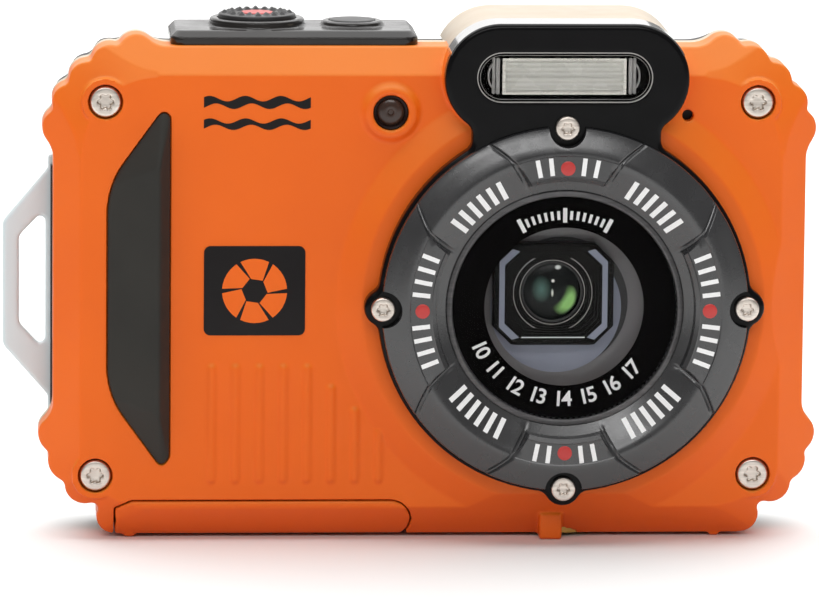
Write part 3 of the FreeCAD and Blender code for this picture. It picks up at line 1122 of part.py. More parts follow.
def battery_contacts():
    x0, _, y0, _ = bay_limits()
    z0 = DOOR_PLATE_T + DOOR_SEAL_T + 0.4 + BATTERY_H
    y = y0 + 0.25 + BATTERY_D / 2
    return compound([rod_z(x0 + 6 + 4 * i, y, CONTACT_R, z0, z0 + CONTACT_H) for i in range(3)])


def memory_card():
    x0, _, y0, _ = bay_limits()
    y = y0 + BATTERY_D + 1.45
    z0 = DOOR_PLATE_T + DOOR_SEAL_T + 1.0
    card = plate([(x0 + 2, z0), (x0 + 2 + CARD_W, z0), (x0 + 2 + CARD_W, z0 + CARD_H - 4),
                  (x0 + CARD_W - 2, z0 + CARD_H), (x0 + 2, z0 + CARD_H)], y, y + CARD_D)
    return card


def usb_port():
    """Micro socket on the board's lower edge."""
    y0 = BOARD_Y - 2.6
    x0 = -18.0
    outer = box(x0, x0 + 7.5, y0, BOARD_Y, 5.0, 10.5)
    outer = round_edges(outer, 0.5, lambda e: abs(e.Length - 5.5) < 1e-6)
    return outer.cut(box(x0 + 0.5, x0 + 7.0, y0 + 0.5, BOARD_Y - 0.5, 4.0, 9.5))


def main_board():
    """Circuit board behind the lens, with its larger chips."""
    x0, x1 = -22.5, BODY_RIGHT - WALL - REAR_INSET - 1.2
    board = box(x0, x1, BOARD_Y, BOARD_Y + BOARD_T, TRIPOD_H + 1.0, BODY_TOP - 12.0)
    for x, z, w, h in ((-18, 24, 12, 12), (-2, 26, 9, 9), (12, 34, 10, 12), (-16, 42, 8, 6)):
        board = board.fuse(box(x, x + w, BOARD_Y + BOARD_T - 0.01, BOARD_Y + BOARD_T + 0.8, z, z + h))
    tab = box(-19.0, -9.5, BOARD_Y, BOARD_Y + BOARD_T, 4.8, TRIPOD_H + 1.5)
    return board.fuse(tab).cut(screw_relief(BOARD_Y - 1, REAR_Y, SCREW_BOSS_R + 0.3))


def lcd_window():
    return screen_pocket(0, REAR_Y - SCREEN_GLASS_T, REAR_Y)


def lcd_panel():
    grow = -SCREEN_LEDGE - 0.2
    return screen_pocket(grow, REAR_Y - SCREEN_GLASS_T - PANEL_T, REAR_Y - SCREEN_GLASS_T)


def key_board():
    """Flexible switch board under the rear keys."""
    x = BODY_LEFT + KEYS_FROM_LEFT
    y1 = INNER_REAR_Y - 0.1 - KEY_FLANGE_T - KEY_TRAVEL - 0.1
    sheet = box(x - 10.8, x + 10.8, y1 - 0.3, y1, 6.5, 47.0)
    for _, kx, kz, _ in key_places():
        dome = rod_y(kx, kz, 1.6, y1 - 0.05, y1 + 0.05)
        sheet = sheet.fuse(dome)
    return sheet


# ---- build -----------------------------------------------------------------------------------
def lens_module():
    """The folded lens's pieces, drawn about the window's axis and moved to their own."""
    pieces = {
        "lens_baffle": lens_baffle(), "front_element": front_element(), "prism": prism(),
        "lens_housing": lens_housing(), "guide_rods": guide_rods(), "image_sensor": image_sensor(),
        "zoom_group": carriage(ZOOM_X, -1), "focus_group": carriage(FOCUS_X, 1),
        "zoom_screw": lead_screw(-1), "focus_screw": lead_screw(1),
        "zoom_motor": lens_motor(-1), "focus_motor": lens_motor(1),
    }
    for piece in pieces.values():
        piece.translate(V(MODULE_DX, 0, MODULE_DZ))
    return pieces


def build():
    front, back, frame = front_outer(), back_outer(), frame_outer()
    whole = front.fuse(frame).fuse(back)
    nodes = {
        "front_shell": front_shell(front), "mid_frame": mid_frame(frame), "back_shell": back_shell(back),
        "body_gasket": body_gasket(), "grip_insert": grip_insert(), "corner_screws": corner_screws(),
        "lens_bezel": lens_bezel(), "lens_ring": lens_ring(), "ring_screws": ring_screws(),
        "window_trim": window_trim(), "lens_window": lens_window(), "window_seal": window_seal(),
        **lens_module(),
        "flash_window": flash_window(), "flash_reflector": flash_reflector(), "flash_tube": flash_tube(),
        "flash_capacitor": flash_capacitor(), "af_lamp_lens": af_lamp_lens(),
        "microphone": microphone(), "speaker": speaker(),
        "top_panel": top_panel(), "shutter_button": shutter_button(), "shutter_cap": shutter_cap(),
        "power_button": power_button(), "strap_lug": strap_lug(), "tripod_socket": tripod_socket(),
        "battery_door": battery_door(whole), "door_gasket": door_gasket(), "door_latch": door_latch(),
        "door_hinge_pin": door_hinge_pin(), "battery_bay": battery_bay(), "battery": battery(),
        "battery_contacts": battery_contacts(), "memory_card": memory_card(),
        "usb_port": usb_port(), "main_board": main_board(), "key_board": key_board(),
        "lcd_window": lcd_window(), "lcd_panel": lcd_panel(), "zoom_rocker": zoom_rocker(),
    }
    for name, x, z, radius in key_places():
        nodes[name] = rear_key(x, z, radius)
    return nodes


def save(nodes):
    os.makedirs("parts", exist_ok=True)
    for name, shape in nodes.items():
        solids = shape.Solids
        if len(solids) == 1:
            shape = solids[0]
        shape.exportStep(f"parts/{name}.step")
        print(f"{name}: solids {len(solids)}, valid {shape.isValid()}, volume {shape.Volume:.1f}")
    print("nodes", len(nodes))


save(build())
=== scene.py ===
import json
import math

import bmesh
import bpy
from mathutils import Matrix, Vector


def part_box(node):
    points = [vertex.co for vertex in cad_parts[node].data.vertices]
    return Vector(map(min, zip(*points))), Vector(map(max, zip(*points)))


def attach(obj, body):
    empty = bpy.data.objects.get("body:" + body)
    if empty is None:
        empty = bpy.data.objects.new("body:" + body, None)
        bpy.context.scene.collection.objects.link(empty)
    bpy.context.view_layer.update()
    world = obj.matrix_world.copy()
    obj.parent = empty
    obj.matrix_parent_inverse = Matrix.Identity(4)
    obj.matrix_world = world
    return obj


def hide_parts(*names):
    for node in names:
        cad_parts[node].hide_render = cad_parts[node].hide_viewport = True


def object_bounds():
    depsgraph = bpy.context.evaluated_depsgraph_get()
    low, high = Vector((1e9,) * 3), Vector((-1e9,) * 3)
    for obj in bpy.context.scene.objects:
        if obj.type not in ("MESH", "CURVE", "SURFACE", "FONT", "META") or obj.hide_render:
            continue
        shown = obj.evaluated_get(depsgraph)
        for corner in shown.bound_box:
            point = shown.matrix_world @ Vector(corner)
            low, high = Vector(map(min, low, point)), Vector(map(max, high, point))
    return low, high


# Looks for a rugged compact camera. Lengths are written in millimetres and become metres through MM.
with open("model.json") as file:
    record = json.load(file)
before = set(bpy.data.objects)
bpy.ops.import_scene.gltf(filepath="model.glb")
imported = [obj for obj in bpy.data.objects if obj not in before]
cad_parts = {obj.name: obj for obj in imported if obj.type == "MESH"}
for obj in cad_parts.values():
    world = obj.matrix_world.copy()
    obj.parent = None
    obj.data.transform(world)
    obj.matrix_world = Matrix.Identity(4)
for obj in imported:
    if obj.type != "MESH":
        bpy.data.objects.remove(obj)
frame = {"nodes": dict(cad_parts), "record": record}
cad_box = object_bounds()
nodes = frame["nodes"]
body_of_node = {n: body for body, members in frame["record"]["behaviour"]["bodies"].items() for n in members}
slot_of_node = {part["node"]: part["material_slot"] for part in frame["record"]["subparts"]}
MM = 0.001


def mm_box(node):
    """A CAD node's lowest and highest corner in millimetres."""
    low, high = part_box(node)
    return low / MM, high / MM


WINDOW_LOW, WINDOW_HIGH = mm_box("lens_window")
LENS_Z = (WINDOW_LOW.z + WINDOW_HIGH.z) / 2
SHELL_LOW = mm_box("front_shell")[0]
FACE_Y = mm_box("corner_screws")[0].y - 0.25


# ---- camera and stage -----------------------------------------------------------------------------
# Camera: distance in metres, angles in radians, target in millimetres.
CAMERA_DISTANCE, CAMERA_TARGET = 1.0, (-20.2, 0, 31.18)
CAMERA_AZIMUTH, CAMERA_ELEVATION, CAMERA_ROLL = math.radians(-3.7), math.radians(9.0), 0.0091
CAMERA_LENS, CAMERA_SENSOR = 322.0, 36

# Lights: place, point faced, size in metres and power in watts.
WORLD_STRENGTH = 0.3
LIGHTS = {
    "overhead": ((0.0, 0.25, 0.9), (0, 0.05, 0.03), (1.6, 1.3), 17.0),
    "front": ((-0.12, -1.05, 0.85), (0, 0, 0.03), (1.0, 0.2), 4.2),
    "behind": ((0.1, 1.15, 0.55), (0, 0, 0.05), (2.4, 0.9), 7.0),
}
FLOOR_HALF = 2.5


def make_camera():
    """Looks at the front from slightly above and to the left, from a metre away."""
    target = Vector(CAMERA_TARGET) * MM
    level = math.cos(CAMERA_ELEVATION)
    back = Vector((math.sin(CAMERA_AZIMUTH) * level, -math.cos(CAMERA_AZIMUTH) * level,
                   math.sin(CAMERA_ELEVATION)))
    data = bpy.data.cameras.new("camera")
    data.sensor_width = CAMERA_SENSOR
    data.lens = CAMERA_LENS
    data.clip_start, data.clip_end = 0.1, 10
    camera = bpy.data.objects.new("camera", data)
    bpy.context.scene.collection.objects.link(camera)
    camera.rotation_mode = "QUATERNION"
    turned = (-back).to_track_quat("-Z", "Y").to_matrix() @ Matrix.Rotation(CAMERA_ROLL, 3, "Z")
    camera.rotation_quaternion = turned.to_quaternion()
    camera.location = target + back * CAMERA_DISTANCE
    bpy.context.scene.camera = camera


def area_light(name, location, target, size, power):
    data = bpy.data.lights.new(name, "AREA")
    data.shape, data.size, data.size_y = "RECTANGLE", size[0], size[1]
    data.energy = power
    light = bpy.data.objects.new(name, data)
    light.location = location
    light.rotation_mode = "QUATERNION"
    light.rotation_quaternion = (Vector(target) - Vector(location)).to_track_quat("-Z", "Y")
    bpy.context.scene.collection.objects.link(light)


def make_stage():
    mesh = bmesh.new()
    bmesh.ops.create_grid(mesh, x_segments=8, y_segments=8, size=FLOOR_HALF)
    data = bpy.data.meshes.new("floor")
    mesh.to_mesh(data)
    mesh.free()
    floor = bpy.data.objects.new("floor", data)
    floor.location.z = cad_box[0].z
    bpy.context.scene.collection.objects.link(floor)
    material = bpy.data.materials.new("pale_floor")
    material.use_nodes = True
    shader = material.node_tree.nodes["Principled BSDF"]
    shader.inputs["Base Color"].default_value = (0.9, 0.905, 0.9, 1)
    shader.inputs["Roughness"].default_value = 0.7
    floor.data.materials.append(material)

    world = bpy.data.worlds.new("world")
    world.use_nodes = True
    world.node_tree.nodes["Background"].inputs["Color"].default_value = (1.0, 0.985, 0.965, 1)
    world.node_tree.nodes["Background"].inputs["Strength"].default_value = WORLD_STRENGTH
    bpy.context.scene.world = world
    bpy.context.scene.view_settings.view_transform = "Standard"
    for name, settings in LIGHTS.items():
        area_light(name, *settings)


# ---- materials --------------------------------------------------------------------------------------
# Noise scales in cycles per metre for colour patches, gloss and moulded grain, and the grain's bump.
PATCH_SCALE, GLOSS_SCALE, GRAIN_SCALE = 60.0, 260.0, 4200.0
GRAIN_DEPTH, GRAIN_STRENGTH = 0.00002, 0.35


def rgb(red, green, blue):
    """Linear colour from 0 to 255 display values."""
    def linear(value):
        value /= 255
        return value / 12.92 if value <= 0.04045 else ((value + 0.055) / 1.055) ** 2.4
    return (linear(red), linear(green), linear(blue), 1)


class Recipe:
    """Short way to write a procedural material on object coordinates."""

    def __init__(self, name):
        self.material = bpy.data.materials.new(name)
        self.material.use_nodes = True
        self.tree = self.material.node_tree
        self.shader = self.tree.nodes["Principled BSDF"]
        self.coordinates = self.tree.nodes.new("ShaderNodeTexCoord").outputs["Object"]

    def add(self, kind, inputs=None, **settings):
        node = self.tree.nodes.new(kind)
        for key, value in settings.items():
            setattr(node, key, value)
        for key, value in (inputs or {}).items():
            socket = node.inputs[key]
            if isinstance(value, bpy.types.NodeSocket):
                self.tree.links.new(value, socket)
            else:
                socket.default_value = value
        return node

    def set(self, **inputs):
        for key, value in inputs.items():
            self.shader.inputs[key.replace("_", " ")].default_value = value

    def noise(self, scale, detail=3.0, roughness=0.5):
        return self.add("ShaderNodeTexNoise", {"Vector": self.coordinates, "Scale": scale, "Detail": detail,
                                               "Roughness": roughness}).outputs["Fac"]

    def mix(self, factor, first, second):
        node = self.add("ShaderNodeMix", data_type="RGBA")
        self.tree.links.new(factor, node.inputs["Factor"])
        for index, value in ((6, first), (7, second)):
            if isinstance(value, bpy.types.NodeSocket):
                self.tree.links.new(value, node.inputs[index])
            else:
                node.inputs[index].default_value = value
        return node.outputs[2]

    def spread(self, value, low, high, from_low=0.3, from_high=0.7):
        node = self.add("ShaderNodeMapRange", {"Value": value, "From Min": from_low, "From Max": from_high,
                                               "To Min": low, "To Max": high})
        return node.outputs["Result"]

    def link(self, socket_name, value):
        self.tree.links.new(value, self.shader.inputs[socket_name])

    def bump(self, height, strength, distance):
        return self.add("ShaderNodeBump", {"Height": height, "Strength": strength,
                                           "Distance": distance}).outputs["Normal"]


def moulded(name, colour, darker, roughness, grain=GRAIN_SCALE, strength=GRAIN_STRENGTH, **extra):
    """Moulded plastic: fine spark-eroded grain, slight colour and gloss variation."""
    recipe = Recipe(name)
    patches = recipe.noise(PATCH_SCALE, 2.0)
    fine = recipe.noise(grain, 2.0, 0.6)
    recipe.link("Base Color", recipe.mix(recipe.spread(patches, 0.0, 1.0), colour, darker))
    gloss = recipe.noise(GLOSS_SCALE, 3.0)
    recipe.link("Roughness", recipe.spread(gloss, roughness - 0.05, roughness + 0.05))
    recipe.link("Normal", recipe.bump(fine, strength, GRAIN_DEPTH))
    recipe.set(**extra)
    return recipe.material


def metal(name, colour, darker, roughness):
    """Turned or brushed metal with fine streaks."""
    recipe = Recipe(name)
    stretch = recipe.add("ShaderNodeMapping", {"Vector": recipe.coordinates, "Scale": (40, 40, 4000)})
    streaks = recipe.add("ShaderNodeTexNoise", {"Vector": stretch.outputs["Vector"], "Scale": 1.0,
                                                "Detail": 3.0}).outputs["Fac"]
    recipe.link("Base Color", recipe.mix(recipe.spread(streaks, 0.0, 1.0), colour, darker))
    recipe.link("Roughness", recipe.spread(recipe.noise(900.0), roughness - 0.06, roughness + 0.08))
    recipe.link("Normal", recipe.bump(streaks, 0.15, 0.00001))
    recipe.set(Metallic=1.0)
    return recipe.material


def glass(name, colour, roughness, ior):
    """Clear or tinted glass with faint smudges."""
    recipe = Recipe(name)
    recipe.link("Roughness", recipe.spread(recipe.noise(180.0), roughness, roughness + 0.015, 0.5, 0.9))
    recipe.set(Base_Color=colour, Transmission_Weight=1.0, IOR=ior)
    return recipe.material


def make_materials():
    m = {}
    m["orange_shell"] = orange_plastic()
    m["frame_silver"] = moulded("frame_silver", rgb(200, 184, 162), rgb(192, 176, 154), 0.35, Metallic=0.5)
    m["back_dark"] = moulded("back_dark", rgb(44, 44, 46), rgb(38, 38, 40), 0.5, Specular_IOR_Level=0.3)
    m["soft_black"] = moulded("soft_black", rgb(50, 48, 44), rgb(43, 42, 39), 0.6, grain=3000.0,
                              Specular_IOR_Level=0.25)
    m["bezel_black"] = moulded("bezel_black", rgb(10, 9, 11), rgb(8, 8, 9), 0.2, strength=0.05,
                               Specular_IOR_Level=0.13)
    m["ring_grey"] = moulded("ring_grey", rgb(38, 38, 40), rgb(33, 33, 35), 0.27, Specular_IOR_Level=1.0)
    m["steel"] = metal("steel", rgb(228, 219, 210), rgb(200, 190, 180), 0.34)
    m["trim_metal"] = metal("trim_metal", rgb(104, 103, 104), rgb(88, 87, 88), 0.5)
    m["clear_glass"] = glass("clear_glass", (1, 1, 1, 1), 0.0, 1.1)
    m["lens_glass"] = glass("lens_glass", rgb(190, 225, 200), 0.0, 1.5)
    m["lamp_glass"] = glass("lamp_glass", rgb(120, 50, 30), 0.08, 1.4)
    m["inner_black"] = moulded("inner_black", rgb(28, 28, 30), rgb(20, 20, 22), 0.5)
    m["reflector"] = metal("reflector", rgb(215, 212, 205), rgb(190, 188, 180), 0.22)
    m["panel_black"] = moulded("panel_black", rgb(30, 26, 24), rgb(24, 21, 20), 0.2, strength=0.1)
    m["button_black"] = moulded("button_black", rgb(36, 35, 36), rgb(28, 28, 29), 0.38)
    m["cap_red"] = moulded("cap_red", rgb(196, 58, 54), rgb(184, 50, 48), 0.35)
    m["lug_silver"] = moulded("lug_silver", rgb(214, 224, 227), rgb(209, 219, 222), 0.35, strength=0.1,
                              Specular_IOR_Level=0.4)
    m["brass"] = metal("brass", rgb(200, 170, 95), rgb(180, 150, 80), 0.3)
    m["board_green"] = moulded("board_green", rgb(30, 90, 55), rgb(24, 80, 48), 0.45)
    m["cell_grey"] = moulded("cell_grey", rgb(95, 97, 102), rgb(85, 87, 92), 0.5)
    m["card_blue"] = moulded("card_blue", rgb(45, 70, 130), rgb(40, 62, 118), 0.4)
    m["sensor_dark"] = moulded("sensor_dark", rgb(35, 45, 60), rgb(28, 36, 50), 0.2)
    m["screen_glass"] = moulded("screen_glass", rgb(6, 6, 7), rgb(5, 5, 6), 0.08, strength=0.02,
                                Specular_IOR_Level=0.25)
    m["screen_black"] = moulded("screen_black", rgb(12, 12, 14), rgb(9, 9, 10), 0.25)
    m["gold"] = metal("gold", rgb(220, 180, 90), rgb(200, 160, 75), 0.25)
    m["can_grey"] = metal("can_grey", rgb(150, 152, 156), rgb(130, 132, 136), 0.35)
    # extra finishes for printed marks and for what lies behind the window
    m["white_ink"] = moulded("white_ink", rgb(246, 246, 246), rgb(240, 240, 240), 0.5)
    m["black_ink"] = moulded("black_ink", rgb(24, 20, 20), rgb(20, 17, 18), 0.5, Specular_IOR_Level=0.2)
    m["mask_black"] = moulded("mask_black", rgb(6, 5, 5), rgb(5, 4, 4), 0.5, Specular_IOR_Level=0.0)
    m["trap_black"] = moulded("trap_black", rgb(11, 10, 9), rgb(8, 7, 7), 0.5, strength=0.1,
                              Specular_IOR_Level=0.08)
    m["rim_grey"] = moulded("rim_grey", rgb(120, 118, 120), rgb(108, 106, 108), 0.5, strength=0.1)
    m["piano_black"] = moulded("piano_black", rgb(12, 11, 13), rgb(9, 9, 10), 0.12, strength=0.02,
                               Coat_Weight=1.0, Coat_Roughness=0.05)
    m["flange_grey"] = moulded("flange_grey", rgb(142, 147, 163), rgb(118, 123, 140), 0.5, grain=2200.0,
                               strength=0.6)
    m["painted_reflection_lens"] = painted_reflection_lens()
    m["flash_plastic"] = moulded("flash_plastic", rgb(228, 227, 220), rgb(206, 205, 198), 0.28, strength=0.1)
    m["lcd_dark"] = moulded("lcd_dark", rgb(16, 18, 24), rgb(13, 15, 20), 0.1, strength=0.02,
                            Specular_IOR_Level=0.3)
    m["lamp_dark"] = moulded("lamp_dark", rgb(34, 12, 8), rgb(26, 9, 6), 0.35, Specular_IOR_Level=0.2)
    m["lamp_amber"] = moulded("lamp_amber", rgb(78, 52, 38), rgb(52, 34, 26), 0.22, grain=900.0)
    m["window_trim_grey"] = moulded("window_trim_grey", rgb(176, 174, 170), rgb(150, 148, 146), 0.3)
    return m


def orange_plastic():
    """Bright moulded orange with painted light: yellower where it faces up as a painted highlight from above,
    redder where it faces down as painted shade.
    """
    recipe = Recipe("orange_shell")
    geometry = recipe.add("ShaderNodeNewGeometry")
    facing = recipe.add("ShaderNodeSeparateXYZ", {"Vector": geometry.outputs["Normal"]})
    speckle = recipe.spread(recipe.noise(PATCH_SCALE, 2.0), 0.0, 1.0)
    plain = recipe.mix(speckle, rgb(240, 106, 15), rgb(235, 101, 12))
    # Painted light: upward faces blend to a yellower painted highlight, downward faces to a redder painted
    # shade.
    upper = recipe.mix(recipe.spread(facing.outputs["Z"], 0.0, 1.0, 0.08, 0.75), plain, rgb(226, 124, 36))
    recipe.link("Base Color", recipe.mix(recipe.spread(facing.outputs["Z"], 1.0, 0.0, -0.6, -0.05),
                                         upper, rgb(225, 92, 22)))
    recipe.link("Roughness", recipe.spread(recipe.noise(GLOSS_SCALE, 3.0), 0.4, 0.5))
    recipe.link("Normal", recipe.bump(recipe.noise(GRAIN_SCALE, 2.0, 0.6), GRAIN_STRENGTH, GRAIN_DEPTH))
    recipe.set(Specular_IOR_Level=0.3)
    return recipe.material


def painted_reflection_lens():
    """Dark lens with painted reflections: a teal patch left of its middle, a green crescent at its lower
    right and three small white painted glints.
    """
    recipe = Recipe("painted_reflection_lens")
    low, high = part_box("front_element")
    middle, radius = (low + high) / 2, (high.x - low.x) / 2
    recipe.coordinates = recipe.add("ShaderNodeMapping", {
        "Vector": recipe.coordinates, "Location": (-middle.x / radius, 0, -middle.z / radius),
        "Scale": (1 / radius, 0, 1 / radius)}).outputs["Vector"]

    def spot(x, z, inner, outer, stretch=(1, 1, 1)):
        moved = recipe.add("ShaderNodeMapping", {"Vector": recipe.coordinates, "Scale": stretch,
                                                 "Location": (-x * stretch[0], 0, -z * stretch[2])})
        away = recipe.add("ShaderNodeVectorMath", {0: moved.outputs["Vector"]}, operation="LENGTH")
        return recipe.spread(away.outputs["Value"], 1.0, 0.0, inner, outer)

    def both(first, second, how):
        return recipe.add("ShaderNodeMath", {0: first, 1: second}, operation=how).outputs[0]

    # Painted reflections: a green crescent, a teal patch and three white painted glints laid into the base
    # colour.
    painted_crescent = both(spot(0.06, -0.08, 0.72, 0.84), spot(-0.2, 0.16, 0.62, 0.9), "SUBTRACT")
    painted_crescent = both(painted_crescent, spot(0.5, -0.3, 0.15, 0.6), "MULTIPLY")
    colour = recipe.mix(spot(-0.38, 0.1, 0.0, 0.36, (1, 1, 0.72)), rgb(10, 14, 14), rgb(84, 116, 107))
    colour = recipe.mix(recipe.spread(painted_crescent, 0.0, 1.0, 0.05, 0.75), colour, rgb(150, 205, 120))
    colour = recipe.mix(spot(0.02, 0.4, 0.03, 0.07), colour, rgb(245, 245, 240))
    colour = recipe.mix(spot(0.0, -0.02, 0.03, 0.08, (1.6, 1, 0.5)), colour, rgb(225, 230, 220))
    colour = recipe.mix(spot(0.2, 0.86, 0.04, 0.09, (0.7, 1, 1)), colour, rgb(235, 238, 235))
    recipe.link("Base Color", colour)
    recipe.set(Roughness=0.2, Specular_IOR_Level=0.12)
    return recipe.material


# ---- mesh helpers -------------------------------------------------------------------------------
SMOOTH_ANGLE, RING_SMOOTH_ANGLE, SOFT_SMOOTH_ANGLE = 32.0, 24.0, 40.0


def paint(piece, material):
    piece.data.materials.clear()
    piece.data.materials.append(materials[material])


def shade(mesh, angle):
    """Smooth shading except across edges sharper than the angle."""
    limit = math.radians(angle)
    for face in mesh.faces:
        face.smooth = True
    for edge in mesh.edges:
        edge.smooth = edge.is_manifold and edge.calc_face_angle(0) < limit


def placed(name, mesh):
    """Turn a bmesh in millimetres into an object in metres."""
    data = bpy.data.meshes.new(name)
    mesh.to_mesh(data)
    mesh.free()
    data.transform(Matrix.Scale(MM, 4))
    piece = bpy.data.objects.new(name, data)
    bpy.context.scene.collection.objects.link(piece)
    return piece


def finish_piece(name, mesh, body, material, replaces=(), smooth_angle=SMOOTH_ANGLE):
    """Turn a bmesh in millimetres into a shaded piece that rides on a body."""
    bmesh.ops.recalc_face_normals(mesh, faces=mesh.faces)
    shade(mesh, smooth_angle)
    piece = placed(name, mesh)
    paint(piece, material)
    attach(piece, body)
    if replaces:
        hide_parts(*replaces)
    return piece


def sharpen(piece, angle):
    """Shade a finished piece again."""
    mesh = bmesh.new()
    mesh.from_mesh(piece.data)
    shade(mesh, angle)
    mesh.to_mesh(piece.data)
    mesh.free()


def apply_modifiers(piece):
    """Bake the piece's modifiers into its mesh."""
    bpy.context.view_layer.update()
    graph = bpy.context.evaluated_depsgraph_get()
    baked = bpy.data.meshes.new_from_object(piece.evaluated_get(graph))
    piece.modifiers.clear()
    piece.data = baked


def softened(node, cell, passes, keep=0.4):
    """A copy of a CAD node with its sharp edges melted to about the cell's size, standing for that node."""
    piece = bpy.data.objects.new(node + "_moulded", nodes[node].data.copy())
    bpy.context.scene.collection.objects.link(piece)
    remesh = piece.modifiers.new("cells", "REMESH")
    remesh.mode, remesh.voxel_size = "VOXEL", cell * MM
    relax = piece.modifiers.new("relax", "SMOOTH")
    relax.factor, relax.iterations = 0.5, passes
    piece.modifiers.new("thin", "DECIMATE").ratio = keep
    apply_modifiers(piece)
    paint(piece, slot_of_node[node])
    sharpen(piece, SOFT_SMOOTH_ANGLE)
    piece.modifiers.new("weighted", "WEIGHTED_NORMAL").keep_sharp = True
    apply_modifiers(piece)
    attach(piece, body_of_node[node])
    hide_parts(node)
    return piece


def add_loop(mesh, points):
    return [mesh.verts.new(p) for p in points]


def bridge(mesh, first, second):
    """Faces between two closed loops of equal length."""
    count = len(first)
    for i in range(count):
        j = (i + 1) % count
        mesh.faces.new((first[i], first[j], second[j], second[i]))


def skin(mesh, loops):
    for first, second in zip(loops, loops[1:]):
        bridge(mesh, first, second)


def skin_round(mesh, loops):
    """Skin the loops and join the last one to the first."""
    skin(mesh, loops + loops[:1])


def circle(x, z, radius, y, count):
    """Points of a circle about a Y line."""
    turns = [2 * math.pi * i / count for i in range(count)]
    return [(x + radius * math.cos(a), y, z + radius * math.sin(a)) for a in turns]


def lathe(mesh, profile, x, z, segments=64):
    """Turn a closed profile of (radius, y) points about the Y line through (x, z)."""
    skin_round(mesh, [add_loop(mesh, circle(x, z, radius, y, segments)) for radius, y in profile])


def turned_solid(mesh, profile, x, z, segments=64):
    """Turn an open profile and cap both its ends."""
    loops = [add_loop(mesh, circle(x, z, radius, y, segments)) for radius, y in profile]
    skin(mesh, loops)
    mesh.faces.new(loops[0])
    mesh.faces.new(loops[-1])


def prism_between(mesh, bottom, top):
    """Closed block from two matching outlines."""
    low, high = add_loop(mesh, bottom), add_loop(mesh, top)
    bridge(mesh, low, high)
    mesh.faces.new(low)
    mesh.faces.new(high)


def flat_block(mesh, outline, y_back, y_front):
    """Thin closed plate from (x, z) points."""
    prism_between(mesh, [(x, y_back, z) for x, z in outline], [(x, y_front, z) for x, z in outline])


# ---- moulded shells ---------------------------------------------------------------------------------
# Cell size in millimetres, smoothing passes and, where given, the share of faces kept.
SOFT_EDGES = {
    "front_shell": (0.22, 3, 0.3), "back_shell": (0.35, 3), "mid_frame": (0.3, 2), "lens_bezel": (0.25, 2),
    "battery_door": (0.3, 3), "strap_lug": (0.3, 3), "top_panel": (0.2, 2), "power_button": (0.14, 2),
    "zoom_rocker": (0.16, 2), "corner_screws": (0.12, 1), "ring_screws": (0.12, 1), "door_latch": (0.14, 2),
    "shutter_cap": (0.12, 1), "window_trim": (0.12, 1), "grip_insert": (0.25, 8), "shutter_button": (0.14, 1),
    "flash_window": (0.14, 2),
}
KEY_EDGE = (0.14, 2)


def make_shells():
    for node, softening in SOFT_EDGES.items():
        softened(node, *softening)
    for node in nodes:
        if node.endswith("_key"):
            softened(node, *KEY_EDGE)


# ---- lens ring --------------------------------------------------------------------------------------
# Heights are measured forwards from the frame's front plane, along -Y, at a distance from the lens axis.
BAND = ((16.1, 12.7), (20.2, 14.89), (20.7, 15.08), (21.2, 15.1), (21.7, 14.98), (24.4, 13.85), (24.7, 13.65),
        (24.8, 13.35))
PAD = ((16.1, 12.7), (17.4, 13.39), (17.55, 14.9), (18.1, 15.36), (18.25, 15.26), (21.0, 15.26),
       (21.15, 15.4), (21.6, 15.4), (24.4, 14.25), (24.7, 14.05), (24.8, 13.7))
SIDE_HALF = ((16.1, 25.0), (17.5, 25.4), (18.1, 25.8), (21.2, 28.0), (24.8, 34.5))
UPRIGHT_HALF = ((16.1, 15.2), (17.5, 15.6), (18.1, 16.0), (21.2, 18.3), (24.8, 24.0))
RING_RADII = (16.1, 16.5, 17.0, 17.4, 17.55, 17.8, 18.1, 18.25, 19.0, 19.8, 20.2, 20.7, 21.0, 21.15, 21.4,
              21.7, 22.6, 23.5, 24.4, 24.7, 24.8)
RING_BACK = ((24.8, 13.02), (20.9, 13.02), (20.9, 11.22), (16.1, 11.22))
WALL_WIDTH, GROOVE_END, GROOVE_DEPTH = 0.45, 1.0, 0.17
BESIDE_PAD = (0.12, 0.22, 0.3, 0.45, 0.6, 0.8, 1.0)
GROOVE_START, GROOVE_FROM_R, GROOVE_FADE = 0.3, 16.6, 0.8
PAD_STEPS, BAND_STEPS, ON_BAND = 12, 18, 5.0
PAD_ANGLES = (0, 90, 180, 270)
SCREW_CIRCLE, NOTCH_R, NOTCH_FLOOR_Y, NOTCH_TOP_Y = 24.6, 2.5, -12.98, -17.0

# Ticks on the pads: how many stand on each side of a pad's middle. Ticks between the pads: their middles.
PAD_TICKS = ((0, 4), (90, 2), (180, 4), (270, 2))
PAD_TICK_FIRST, PAD_TICK_STEP = 1.4, 5
BAND_TICK_MIDDLES, BAND_TICKS, BAND_TICK_STEP = (130, 50, 230, 310), 6, 4.65
TICK_LIFT, TICK_SUNK, TICK_STEPS = 0.04, 0.08, 5
DOT_CIRCLE = 19.4
DOT_PROFILE = ((0.98, 0.05), (0.98, -0.04), (0.85, -0.1), (0.5, -0.13), (0.12, -0.14))


def along(table, where):
    """Height or angle read from a short table by straight lines."""
    if where <= table[0][0]:
        return table[0][1]
    for (x0, y0), (x1, y1) in zip(table, table[1:]):
        if where <= x1:
            return y0 + (y1 - y0) * (where - x0) / (x1 - x0)
    return table[-1][1]


def pad_half(index, radius):
    return along(UPRIGHT_HALF if index % 2 else SIDE_HALF, radius)


def ring_height(radius, beside):
    """Height of the ring; beside is how far past the nearest pad's edge, in millimetres, 0 when on it."""
    band, pad = along(BAND, radius), along(PAD, radius)
    share = max(0.0, 1 - beside / WALL_WIDTH)
    share = share * share * (3 - 2 * share)
    height = band + (pad - band) * share
    if GROOVE_START < beside < GROOVE_END:
        dip = math.sin(math.pi * (beside - GROOVE_START) / (GROOVE_END - GROOVE_START))
        height -= GROOVE_DEPTH * dip * min(1.0, max(0.0, (radius - GROOVE_FROM_R) / GROOVE_FADE))
    return height


